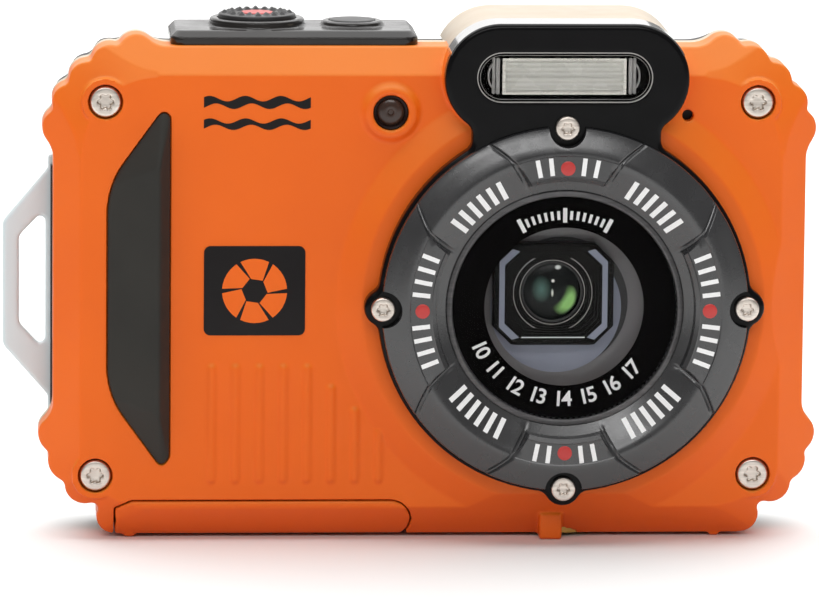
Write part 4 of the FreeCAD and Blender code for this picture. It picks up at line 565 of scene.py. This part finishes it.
def ring_columns(radius):
    """(angle in degrees, distance past the pad edge) right round the ring."""
    columns = []
    for index in range(4):
        start = 90 * index
        half, next_half = pad_half(index, radius), pad_half(index + 1, radius)
        columns += [(start + half * i / PAD_STEPS, 0.0) for i in range(PAD_STEPS + 1)]
        columns += [(start + half + math.degrees(d / radius), d) for d in BESIDE_PAD]
        first = start + half + math.degrees(BESIDE_PAD[-1] / radius)
        last = start + 90 - next_half - math.degrees(BESIDE_PAD[-1] / radius)
        columns += [(first + (last - first) * i / BAND_STEPS, ON_BAND) for i in range(1, BAND_STEPS)]
        columns += [(start + 90 - next_half - math.degrees(d / radius), d) for d in reversed(BESIDE_PAD)]
        columns += [(start + 90 - next_half + next_half * i / PAD_STEPS, 0.0) for i in range(PAD_STEPS)]
    return columns


def on_ring(angle, radius, height):
    turn = math.radians(angle)
    return (radius * math.cos(turn), -height, LENS_Z + radius * math.sin(turn))


def make_ring():
    mesh = bmesh.new()
    loops = []
    for radius in RING_RADII:
        points = [on_ring(a, radius, ring_height(radius, d)) for a, d in ring_columns(radius)]
        loops.append(add_loop(mesh, points))
    for radius, height in RING_BACK:
        points = [on_ring(a, radius, height) for a, _ in ring_columns(radius)]
        loops.append(add_loop(mesh, points))
    skin_round(mesh, loops)
    ring = finish_piece("lens_ring_moulded", mesh, "camera", "ring_grey", ["lens_ring"],
                        RING_SMOOTH_ANGLE)

    notches = bmesh.new()
    for angle in PAD_ANGLES:
        x, _, z = on_ring(angle, SCREW_CIRCLE, 0)
        turned_solid(notches, [(NOTCH_R, NOTCH_FLOOR_Y), (NOTCH_R, NOTCH_TOP_Y)], x, z, 40)
    bmesh.ops.recalc_face_normals(notches, faces=notches.faces)
    cutter = placed("notches", notches)
    cut = ring.modifiers.new("notches", "BOOLEAN")
    cut.operation, cut.object, cut.solver = "DIFFERENCE", cutter, "EXACT"
    apply_modifiers(ring)
    bpy.data.objects.remove(cutter)
    sharpen(ring, RING_SMOOTH_ANGLE)


def ring_tick(mesh, angle, inner, outer, width, beside):
    """White bar lying on the ring's slope."""
    turn = math.radians(angle)
    across = Vector((-math.sin(turn), 0, math.cos(turn))) * (width / 2)
    loops = []
    for i in range(TICK_STEPS + 1):
        radius = inner + (outer - inner) * i / TICK_STEPS
        height = ring_height(radius, beside)
        front = Vector(on_ring(angle, radius, height + TICK_LIFT))
        back = Vector(on_ring(angle, radius, height - TICK_SUNK))
        loops.append(add_loop(mesh, [front - across, front + across, back + across, back - across]))
    skin(mesh, loops)
    mesh.faces.new(loops[0])
    mesh.faces.new(loops[-1])


def make_ring_marks():
    ticks = bmesh.new()
    for centre, count in PAD_TICKS:
        for step in range(1, count + 1):
            for side in (-1, 1):
                angle = centre + side * (PAD_TICK_FIRST + PAD_TICK_STEP * step)
                ring_tick(ticks, angle, 18.5, 20.9, 0.6, 0.0)
    for middle in BAND_TICK_MIDDLES:
        for i in range(BAND_TICKS):
            angle = middle + BAND_TICK_STEP * (i - (BAND_TICKS - 1) / 2)
            ring_tick(ticks, angle, 17.0, 19.8, 0.7, ON_BAND)
    finish_piece("ring_ticks", ticks, "camera", "white_ink")
    dots = bmesh.new()
    for centre in PAD_ANGLES:
        x, _, z = on_ring(centre, DOT_CIRCLE, 0)
        base = -ring_height(DOT_CIRCLE, 0)
        turned_solid(dots, [(radius, base + dy) for radius, dy in DOT_PROFILE], x, z, 28)
    finish_piece("ring_dots", dots, "camera", "cap_red")


# ---- behind the window ----------------------------------------------------------------------------------
MASK_IN, MASK_OUT, MASK_BACK_Y, MASK_FRONT_Y = 10.8, 15.12, -11.21, -11.25
NUMERALS, NUMERALS_MIDDLE, NUMERALS_R = "10 11 12 13 14 15 16 17", 262, 12.7
NUMERAL_SIZE, NUMERAL_STEP, NUMERAL_T, NUMERAL_OFFSET, NUMERAL_LIFT = 2.9, 5.2, 0.02, 0.05, 11.27
SCALE_MARKS, SCALE_STEP, SCALE_LIFT, SCALE_T = 15, 4, 11.26, 0.03
LONG_MARK, SHORT_MARK = (11.5, 13.5, 0.28), (11.9, 13.1, 0.2)    # inner radius, outer radius, half width
HOOD_MIDDLE = sum(mm_box("lens_baffle"), Vector()) / 2
HOOD_FRONT, HOOD_BACK = mm_box("lens_baffle")[0].y, mm_box("lens_baffle")[1].y


def make_numerals():
    """Numerals set one by one round the lens axis, reading upright at the bottom, as one mesh."""
    merged = bmesh.new()
    for i, letter in enumerate(NUMERALS):
        if letter == " ":
            continue
        curve = bpy.data.curves.new("numeral", "FONT")
        curve.body, curve.size, curve.align_x, curve.align_y = letter, NUMERAL_SIZE, "CENTER", "CENTER"
        curve.extrude = NUMERAL_T
        curve.offset = NUMERAL_OFFSET
        curve.resolution_u = 3
        holder = bpy.data.objects.new("numeral", curve)
        bpy.context.scene.collection.objects.link(holder)
        bpy.context.view_layer.update()
        data = bpy.data.meshes.new_from_object(holder.evaluated_get(bpy.context.evaluated_depsgraph_get()))
        bpy.data.objects.remove(holder)
        angle = NUMERALS_MIDDLE + NUMERAL_STEP * (i - (len(NUMERALS) - 1) / 2)
        stand = Matrix.Rotation(math.radians(90), 4, "X")
        turn = Matrix.Rotation(-math.radians(angle + 90), 4, "Y")
        place = Matrix.Translation(Vector(on_ring(angle, NUMERALS_R, NUMERAL_LIFT)))
        data.transform(place @ turn @ stand)
        merged.from_mesh(data)
        bpy.data.meshes.remove(data)
    return merged


def make_mask():
    mesh = bmesh.new()
    lathe(mesh, [(MASK_IN, MASK_BACK_Y), (MASK_IN, MASK_FRONT_Y), (MASK_OUT, MASK_FRONT_Y),
                 (MASK_OUT, MASK_BACK_Y)], 0, LENS_Z, 120)
    finish_piece("window_mask", mesh, "camera", "mask_black")
    finish_piece("window_numerals", make_numerals(), "camera", "white_ink")
    scale = bmesh.new()
    for i in range(SCALE_MARKS):
        step = i - SCALE_MARKS // 2
        angle = 90 + SCALE_STEP * step
        inner, outer, half = SHORT_MARK if step % (SCALE_MARKS // 2) else LONG_MARK
        turn = math.radians(angle)
        side = Vector((-math.sin(turn), 0, math.cos(turn))) * half
        a, b = Vector(on_ring(angle, inner, SCALE_LIFT)), Vector(on_ring(angle, outer, SCALE_LIFT))
        deep = Vector((0, -SCALE_T, 0))
        outline = [a - side, b - side, b + side, a + side]
        prism_between(scale, outline, [point + deep for point in outline])
    finish_piece("window_scale", scale, "camera", "white_ink")


# Hood outlines: half width, half height, corner cut. HOOD_MOUTH adds the depth behind the mouth.
HOOD_OUT, HOOD_IN = (8.2, 7.0, 2.6), (6.5, 5.75, 2.2)
HOOD_MOUTH = ((8.2, 7.0, 2.6, 0.5), (7.95, 6.75, 2.55, 0.12), (7.6, 6.5, 2.5, 0.0), (6.6, 5.9, 2.2, 0.0),
              (6.5, 5.75, 2.2, 0.12))
HOOD_SEGMENTS, TRAPS, TRAP_START, TRAP_LEDGE, TRAP_END_R = 96, 6, 0.12, 0.04, 4.15
RIMS = ((4.35, 0.15), (5.3, 0.9))           # radius and distance in front of the hood's back
RIM_W, RIM_T = 0.1, 0.12
LIP_HALF, LIP_LOW, LIP_HIGH = 4.3, 5.95, 5.83
# Right-hand plate beside the mouth, from the hood's middle.
PLATE_OUTLINE = ((6.62, -4.0), (4.6, -5.9), (5.6, -6.2), (7.35, -4.5), (7.35, 4.5), (5.6, 6.2), (4.6, 5.9),
                 (6.62, 4.0))


def reach(angle, half_w, half_h, corner, circle, share):
    """Distance from the middle to a cut-cornered box, blended towards a circle."""
    c, s = abs(math.cos(angle)), abs(math.sin(angle))
    limits = [half_w / c if c > 1e-6 else 1e9, half_h / s if s > 1e-6 else 1e9,
              (half_w + half_h - corner) / (c + s)]
    return min(limits) * (1 - share) + circle * share


def make_hood():
    """Cut-cornered hood with stepped light traps running down to the lens."""
    cx, cz = HOOD_MIDDLE.x, HOOD_MIDDLE.z

    def loop(mesh, y, half_w, half_h, corner, share=0.0):
        points = []
        for i in range(HOOD_SEGMENTS):
            a = 2 * math.pi * (i + 0.5) / HOOD_SEGMENTS
            d = reach(a, half_w, half_h, corner, TRAP_END_R, share)
            points.append((cx + d * math.cos(a), y, cz + d * math.sin(a)))
        return add_loop(mesh, points)

    mesh = bmesh.new()
    loops = [loop(mesh, HOOD_BACK, *HOOD_OUT)]
    loops += [loop(mesh, HOOD_FRONT + inset, *outline) for *outline, inset in HOOD_MOUTH]
    depth = HOOD_BACK - HOOD_FRONT - 0.35
    for k in range(TRAPS):
        y = HOOD_FRONT + TRAP_START + depth * (k + 1) / TRAPS
        loops.append(loop(mesh, y - TRAP_LEDGE, *HOOD_IN, k / TRAPS * 0.95))
        loops.append(loop(mesh, y, *HOOD_IN, (k + 1) / TRAPS * 0.95))
    loops.append(loop(mesh, HOOD_BACK, *HOOD_IN, 1.0))
    skin_round(mesh, loops)
    finish_piece("lens_hood", mesh, "camera", "trap_black", ["lens_baffle"], 30.0)

    lip = bmesh.new()
    bottom, top = cz - LIP_LOW, cz - LIP_HIGH
    left, right = cx - LIP_HALF, cx + LIP_HALF
    flat_block(lip, [(left, bottom), (right, bottom), (right, top), (left, top)], HOOD_FRONT + 0.1,
               HOOD_FRONT - 0.05)
    finish_piece("hood_lip", lip, "camera", "white_ink")
    rims = bmesh.new()
    lens_x, lens_z = key_middle("front_element")[:2]
    for radius, ahead in RIMS:
        y = HOOD_BACK - ahead
        lathe(rims, [(radius, y), (radius, y - RIM_T), (radius + RIM_W, y - RIM_T), (radius + RIM_W, y)],
              lens_x, lens_z, 72)
    finish_piece("hood_rims", rims, "camera", "window_trim_grey")

    plates = bmesh.new()
    for side in (-1, 1):
        flat_block(plates, [(cx + side * x, cz + z) for x, z in PLATE_OUTLINE], HOOD_FRONT + 0.1,
                   HOOD_FRONT - 0.07)
    finish_piece("hood_plates", plates, "camera", "flange_grey")


FLANGE_MIDDLE = (-0.8, LENS_Z - 0.7)
FLANGE_IN, FLANGE_OUT, GROOVES, GROOVE_LOW, GROOVE_HIGH = 4.3, 8.9, 24, 0.17, 0.2
FLANGE_RIM = ((9.0, -7.15), (9.0, -7.3), (9.12, -7.36), (12.6, -7.36), (12.75, -7.5), (13.1, -7.5),
              (13.1, -7.15))


def make_flange():
    """Grooved plate round the lens: its hole follows the lens, its outer edge the hood."""
    y = HOOD_BACK
    lens_x, lens_z = key_middle("front_element")[:2]
    rows = [(0.0, y + 0.1)]
    rows += [(i / GROOVES, y - (GROOVE_HIGH if i % 2 else GROOVE_LOW)) for i in range(GROOVES + 1)]
    rows.append((1.0, y + 0.1))
    disc = bmesh.new()
    loops = []
    for share, depth in rows:
        radius = FLANGE_IN + (FLANGE_OUT - FLANGE_IN) * share
        x = lens_x + (FLANGE_MIDDLE[0] - lens_x) * share
        z = lens_z + (FLANGE_MIDDLE[1] - lens_z) * share
        loops.append(add_loop(disc, circle(x, z, radius, depth, 96)))
    skin_round(disc, loops)
    finish_piece("lens_flange", disc, "camera", "flange_grey", smooth_angle=60.0)
    ring = bmesh.new()
    lathe(ring, FLANGE_RIM, 0, LENS_Z, 96)
    finish_piece("flange_rim", ring, "camera", "rim_grey")


# ---- flash -----------------------------------------------------------------------------------------------
def stadium_points(x, z, half, radius, count=20):
    points = []
    for side, start in ((1, -90), (-1, 90)):
        for i in range(count + 1):
            a = math.radians(start + 180 * i / count)
            points.append((x + side * half + radius * math.cos(a), z + radius * math.sin(a)))
    return points


def stadium_rim(mesh, x, z, half, inner, outer, y_back, y_front):
    rows = [(inner, y_back), (inner, y_front), ((inner + outer) / 2, y_front - 0.04), (outer, y_front),
            (outer, y_back)]
    skin_round(mesh, [add_loop(mesh, [(px, y, pz) for px, pz in stadium_points(x, z, half, r)])
                      for r, y in rows])


RIBS, RIB_MARGIN_X, RIB_MARGIN_Z, RIB_DEPTH, RIB_TIP = 6, 0.3, 0.35, 0.3, 0.06
LIGHT_BOX_IN = 0.25                         # how far the ribs start behind the reflector's mouth
FRAME_OUT, FRAME_IN, FRAME_IN_R = 0.9, 1.0, 0.55
# Upright plates beside the tube: near side, far side and depth of the front, from the reflector's end.
HOLDERS = ((0.35, 0.85, 0.15), (0.95, 1.35, 0.3))
END_OUT, END_IN, END_SHARE, END_AWAY, END_SPAN, END_STEPS = 1.9, 1.55, 0.55, 1.4, 70, 12


def make_flash_ribs(low, high, front):
    ribs = bmesh.new()
    left, right = low.x + RIB_MARGIN_X, high.x - RIB_MARGIN_X
    bottom, tall = low.z + RIB_MARGIN_Z, high.z - low.z - 2 * RIB_MARGIN_Z
    for i in range(RIBS):
        z0, z1 = bottom + tall * i / RIBS, bottom + tall * (i + 1) / RIBS
        middle = (z0 + z1) / 2
        slope, back = front + RIB_DEPTH, front + 2 * RIB_DEPTH
        outline = [(slope, z0), (front, middle - RIB_TIP), (front, middle + RIB_TIP), (slope, z1), (back, z1),
                   (back, z0)]
        prism_between(ribs, [(left, y, z) for y, z in outline], [(right, y, z) for y, z in outline])
    finish_piece("flash_ribs", ribs, "camera", "flash_plastic")


def make_flash_frame(x, z, half_w, half_h, front):
    """Rounded frame round the ribs."""
    frame_mesh = bmesh.new()
    outer, inner = [], []
    for sx, sz, start in ((1, 1, 0), (-1, 1, 90), (-1, -1, 180), (1, -1, 270)):
        for i in range(7):
            a = math.radians(start + 15 * i)
            c, s = math.cos(a), math.sin(a)
            outer.append((x + sx * (half_w - FRAME_OUT) + FRAME_OUT * c,
                          z + sz * (half_h - FRAME_OUT) + FRAME_OUT * s))
            inner.append((x + sx * (half_w - FRAME_IN) + FRAME_IN_R * c,
                          z + sz * (half_h - FRAME_IN) + FRAME_IN_R * s))
    rows = [(outer, front + 0.6), (outer, front - 0.05), (inner, front - 0.05), (inner, front + 0.6)]
    skin_round(frame_mesh, [add_loop(frame_mesh, [(px, y, pz) for px, pz in points]) for points, y in rows])
    finish_piece("flash_frame", frame_mesh, "camera", "flash_plastic")


def make_flash_bands(x, z, half_w, half_h, front):
    """Holder at each end of the tube: two upright plates and a curved end."""
    bands = bmesh.new()
    back = front + 0.9
    for side in (-1, 1):
        end = x + side * half_w
        for near, far, inset in HOLDERS:
            x0, x1 = sorted((end + side * near, end + side * far))
            flat_block(bands, rounded_outline(x0, x1, z - half_h, z + half_h, 0.18, 3), back, front + inset)
        arc = []
        for radius, turns in ((END_OUT, range(END_STEPS + 1)), (END_IN, range(END_STEPS, -1, -1))):
            for i in turns:
                a = math.radians(-END_SPAN + 2 * END_SPAN * i / END_STEPS)
                arc.append((end + side * (END_AWAY + END_SHARE * radius * math.cos(a) - 0.5),
                            z + radius * math.sin(a)))
        flat_block(bands, arc, back, front + 0.2)
    finish_piece("flash_bands", bands, "camera", "window_trim_grey")


def make_flash():
    low, high = mm_box("flash_window")
    x, z = (low.x + high.x) / 2, (low.z + high.z) / 2
    radius = (high.z - low.z) / 2
    half = (high.x - low.x) / 2 - radius
    rim = bmesh.new()
    stadium_rim(rim, x, z, half, radius, radius + 0.13, low.y + 0.25, low.y - 0.31)
    stadium_rim(rim, x, z, half, radius - 0.34, radius - 0.28, low.y - 0.03, low.y - 0.06)
    finish_piece("flash_rim", rim, "camera", "window_trim_grey")
    box_low, box_high = mm_box("flash_reflector")
    front = box_low.y + LIGHT_BOX_IN
    middle, size = (box_low + box_high) / 2, (box_high - box_low) / 2
    make_flash_ribs(box_low, box_high, front)
    make_flash_frame(middle.x, middle.z, size.x, size.z, front)
    make_flash_bands(middle.x, middle.z, size.x, size.z, front)
    well = bmesh.new()
    flat_block(well, stadium_points(x, z, half, radius + 0.1), front + 1.1, front + 0.95)
    finish_piece("flash_well", well, "camera", "mask_black")


HUMP_SPLIT_Y = -6.2                         # where the black front meets the bright cap
HUMP_R, HUMP_HALF, HUMP_T = 7.5, 9.0, 0.5


def make_hump_cap():
    """Thin bright cap over the hump behind the black front, and the black front's own top."""
    low, high = mm_box("lens_bezel")
    shell_high = mm_box("front_shell")[1]
    middle_z = high.z - HUMP_R
    for name, y0, y1, lift, material, slot in (
            ("hump_cap", HUMP_SPLIT_Y, shell_high.y, 0.05, "frame_silver", "frame_silver"),
            ("hump_front_top", low.y + 0.25, HUMP_SPLIT_Y, 0.04, "piano_black", "bezel_black")):
        mesh = bmesh.new()
        arcs = []
        for r in (HUMP_R + lift, HUMP_R - HUMP_T):
            arc = [(HUMP_HALF + r * math.cos(math.radians(a)), middle_z + r * math.sin(math.radians(a)))
                   for a in range(26, 91, 4)]
            arc += [(-x, z) for x, z in reversed(arc)]
            arcs.append(arc)
        flat_block(mesh, arcs[0] + arcs[1][::-1], y0, y1)
        piece = finish_piece(name, mesh, "camera", material)
        bevel = piece.modifiers.new("bevel", "BEVEL")
        bevel.width, bevel.segments, bevel.angle_limit = 0.05 * MM, 2, math.radians(40)
        bevel.limit_method = "ANGLE"


# ---- top controls ----------------------------------------------------------------------------------------
STUD_PITCH, STUD_HALF, STUD_TIP, STUD_H, STUD_FIELD_R = 1.1, 0.47, 0.1, 0.45, 4.75
SQUARE = ((-1, -1), (1, -1), (1, 1), (-1, 1))


def make_shutter():
    """Field of small pyramids round the shutter's cap."""
    top = mm_box("shutter_button")[1].z
    cap_low, cap_high = mm_box("shutter_cap")
    x, y = (cap_low.x + cap_high.x) / 2, (cap_low.y + cap_high.y) / 2
    inner = (cap_high.x - cap_low.x) / 2 + 0.25 + STUD_PITCH * 0.35
    outer = STUD_FIELD_R - STUD_PITCH * 0.3
    half = STUD_PITCH * STUD_HALF
    mesh = bmesh.new()
    for i in range(-5, 6):
        for j in range(-5, 6):
            px, py = x + i * STUD_PITCH, y + j * STUD_PITCH
            if inner < math.hypot(px - x, py - y) < outer:
                prism_between(mesh, [(px + sx * half, py + sy * half, top - STUD_H) for sx, sy in SQUARE],
                              [(px + sx * STUD_TIP, py + sy * STUD_TIP, top) for sx, sy in SQUARE])
    finish_piece("shutter_studs", mesh, "shutter_button", "button_black")


# ---- small front parts ------------------------------------------------------------------------------------
# Profiles of the lamp: radius and depth behind its face.
LAMP_RING = ((2.38, 1.6), (2.38, 0.05), (2.25, 0.0), (2.0, 0.15), (1.85, 0.5), (1.85, 1.6))
LAMP_DOME = ((1.84, 1.5), (1.84, 0.6), (1.5, 0.42), (1.0, 0.3), (0.6, 0.26), (0.42, 0.3), (0.32, 0.4))
# Dark sheet painted as the shadow in the gap beside the lug: ends in x from the body's side, ends in y, and
# what it stops short of the lug's height.
LUG_SIDE, LUG_SHADOW_X, LUG_SHADOW_Y, LUG_SHADOW_SHORT = 1.98, (-0.27, 0.1), (0.6, 2.05), 1.2


def make_lamp():
    """Recessed lamp: a dark ring round an amber dome with a small eye."""
    low, high = mm_box("af_lamp_lens")
    x, z = (low.x + high.x) / 2, (low.z + high.z) / 2
    well = bmesh.new()
    lathe(well, [(radius, low.y + depth) for radius, depth in LAMP_RING], x, z)
    finish_piece("lamp_ring", well, "camera", "lamp_dark", replaces=["af_lamp_lens"])
    dome = bmesh.new()
    turned_solid(dome, [(radius, low.y + depth) for radius, depth in LAMP_DOME], x, z)
    finish_piece("lamp_dome", dome, "camera", "lamp_amber")


def make_lug_gap_shadow():
    """Thin dark sheet painted as the shadow in the gap where the strap lug leaves the body's side."""
    low, high = mm_box("strap_lug")
    x0, x1 = (SHELL_LOW.x + LUG_SIDE + dx for dx in LUG_SHADOW_X)
    y0, y1 = LUG_SHADOW_Y
    outline = [(x0, y0), (x1, y0), (x1, y1), (x0, y1)]
    slit = bmesh.new()
    prism_between(slit, [(x, y, low.z + LUG_SHADOW_SHORT) for x, y in outline],
                  [(x, y, high.z - LUG_SHADOW_SHORT) for x, y in outline])
    finish_piece("lug_gap_shadow", slit, "camera", "panel_black")


# ---- marks on the front ----------------------------------------------------------------------------------
BADGE = (-48.6, -34.9, 27.8, 40.0)          # left, right, bottom and top of the badge and of the bands
BANDS = (-48.7, -34.3, 55.8, 60.55)
BADGE_R, BADGE_T, BADGE_BEVEL = 0.9, 0.1, 0.06
BLADES, BLADE_OUT, BLADE_IN, BLADE_ARC_STEPS = 6, 4.4, 1.7, 6
# Two wave bands: height of each. The thickness swings between its widest and a third of it.
LOWER_WAVE, UPPER_WAVE = 1.6, 2.0
WAVE_STEPS, WAVE_LENGTH, WAVE_SWELL, WAVE_EDGE = 42, 14, 0.32, 0.1


def rounded_outline(x0, x1, z0, z1, radius, steps=8):
    points = []
    for cx, cz, start in ((x1 - radius, z1 - radius, 0), (x0 + radius, z1 - radius, 90),
                          (x0 + radius, z0 + radius, 180), (x1 - radius, z0 + radius, 270)):
        for i in range(steps + 1):
            a = math.radians(start + 90 * i / steps)
            points.append((cx + radius * math.cos(a), cz + radius * math.sin(a)))
    return points


def make_badge():
    x0, x1, z0, z1 = BADGE
    plate = bmesh.new()
    rows = [(0.0, FACE_Y + 0.05), (0.0, FACE_Y - BADGE_T), (0.12, FACE_Y - BADGE_T - BADGE_BEVEL)]
    loops = [add_loop(plate, [(x, y, z) for x, z in
                              rounded_outline(x0 + i, x1 - i, z0 + i, z1 - i, BADGE_R)]) for i, y in rows]
    skin(plate, loops)
    plate.faces.new(loops[0])
    plate.faces.new(loops[-1])
    finish_piece("front_badge", plate, "camera", "black_ink")

    blades = bmesh.new()
    cx, cz = (x0 + x1) / 2, (z0 + z1) / 2
    for k in range(BLADES):
        start = 360 / BLADES * k
        # outer arc, then the blade's two inner corners
        rim = [(BLADE_OUT, start + 4 + 52 * i / BLADE_ARC_STEPS) for i in range(BLADE_ARC_STEPS + 1)]
        rim += [(BLADE_IN, start + 46), (BLADE_IN * 1.05, start - 8)]
        flat_block(blades, [(cx + r * math.cos(math.radians(a)), cz + r * math.sin(math.radians(a)))
                            for r, a in rim], FACE_Y - BADGE_T, FACE_Y - 0.2)
    finish_piece("badge_icon", blades, "camera", "orange_shell")


def make_waves():
    """Two wavy bands, built as blocks side by side."""
    x0, x1, z0, z1 = BANDS
    waves = bmesh.new()
    for base, tall in ((z0, LOWER_WAVE), (z1 - UPPER_WAVE, UPPER_WAVE)):
        upper, lower = [], []
        for i in range(WAVE_STEPS + 1):
            x = x0 + (x1 - x0) * i / WAVE_STEPS
            phase = 2 * math.pi * i / WAVE_LENGTH
            middle = base + tall / 2 + WAVE_SWELL * math.sin(phase)
            half = tall * 0.62 * (0.66 + 0.34 * math.cos(phase)) / 2 + WAVE_EDGE
            upper.append((x, middle + half))
            lower.append((x, middle - half))
        for i in range(WAVE_STEPS):
            quad = [lower[i], lower[i + 1], upper[i + 1], upper[i]]
            flat_block(waves, quad, FACE_Y + 0.05, FACE_Y - 0.05)
    bmesh.ops.remove_doubles(waves, verts=waves.verts, dist=1e-5)
    finish_piece("front_waves", waves, "camera", "black_ink")


# ---- back ------------------------------------------------------------------------------------------------
SCREEN_MARGIN_X, SCREEN_MARGIN_Z, SCREEN_R = 3.5, 3.0, 0.6
BORDER_W, BORDER_R, BORDER_LIFT = 0.35, 1.6, 0.06
INK_SUNK, INK_LIFT = 0.02, 0.03             # how far a printed sign goes into and stands off its key
ARROW_SIZE, PLAY_SIZE = 0.85, 1.2
ARROWS = {"up_key": 90, "down_key": -90, "left_key": 0, "right_key": 180, "play_key": 180}
DOTS = {"record_key": ("cap_red", 1.1), "set_key": ("white_ink", 0.7)}
MENU_HALF, MENU_LINE, MENU_PITCH = 1.2, 0.16, 0.75
BIN_OUTLINES = (((-0.7, -1.0), (0.7, -1.0), (0.85, 0.55), (-0.85, 0.55)),
                ((-1.1, 0.7), (1.1, 0.7), (1.1, 0.95), (-1.1, 0.95)))


def key_middle(node):
    """A round part's middle in x and z, and its rearmost y."""
    low, high = mm_box(node)
    return (low.x + high.x) / 2, (low.z + high.z) / 2, high.y


def print_sign(node, outlines, material="white_ink"):
    """Flat sign on a key from outlines given round the key's middle."""
    x, z, y = key_middle(node)
    mesh = bmesh.new()
    for outline in outlines:
        flat_block(mesh, [(x + px, z + pz) for px, pz in outline], y - INK_SUNK, y + INK_LIFT)
    finish_piece(node + "_sign", mesh, body_of_node[node], material)


def make_screen():
    low, high = mm_box("lcd_window")
    area = bmesh.new()
    outline = rounded_outline(low.x + SCREEN_MARGIN_X, high.x - SCREEN_MARGIN_X, low.z + SCREEN_MARGIN_Z,
                              high.z - SCREEN_MARGIN_Z, SCREEN_R)
    flat_block(area, outline, high.y - INK_SUNK, high.y + 0.02)
    finish_piece("lcd_area", area, "camera", "lcd_dark")
    border = bmesh.new()
    rings = []
    for inset, y in ((0.0, high.y - INK_SUNK), (0.0, high.y + BORDER_LIFT), (BORDER_W, high.y + BORDER_LIFT),
                     (BORDER_W, high.y - INK_SUNK)):
        rings.append(add_loop(border, [(px, y, pz) for px, pz in rounded_outline(
            low.x + inset, high.x - inset, low.z + inset, high.z - inset, BORDER_R - inset)]))
    skin_round(border, rings)
    finish_piece("lcd_border", border, "camera", "panel_black")


def make_key_signs():
    for node, turn in ARROWS.items():
        size = PLAY_SIZE if node == "play_key" else ARROW_SIZE
        print_sign(node, [[(size * math.cos(math.radians(turn + a)), size * math.sin(math.radians(turn + a)))
                           for a in (0, 125, 235)]])
    for node, (material, size) in DOTS.items():
        x, z, y = key_middle(node)
        mesh = bmesh.new()
        turned_solid(mesh, [(size, y - INK_SUNK), (size, y + 0.02), (size * 0.8, y + 0.04)], x, z, 32)
        finish_piece(node + "_sign", mesh, body_of_node[node], material)
    print_sign("menu_key", [rounded_outline(-MENU_HALF, MENU_HALF, dz - MENU_LINE, dz + MENU_LINE, 0.15, 3)
                            for dz in (-MENU_PITCH, 0, MENU_PITCH)])
    print_sign("delete_key", BIN_OUTLINES)


# ---- put together ------------------------------------------------------------------------------------------
# CAD pieces that look different from the rest of their material slot. The microphone is painted lamp_dark as
# painted shade for the dark hole it sits in.
OWN_LOOKS = {"front_element": "painted_reflection_lens", "microphone": "lamp_dark"}
materials = make_materials()
for node, piece in nodes.items():
    paint(piece, OWN_LOOKS.get(node, slot_of_node[node]))

make_camera()
make_stage()
make_shells()
make_ring()
make_ring_marks()
make_mask()
make_hood()
make_flange()
make_flash()
make_hump_cap()
make_shutter()
make_lamp()
make_lug_gap_shadow()
make_badge()
make_waves()
make_screen()
make_key_signs()
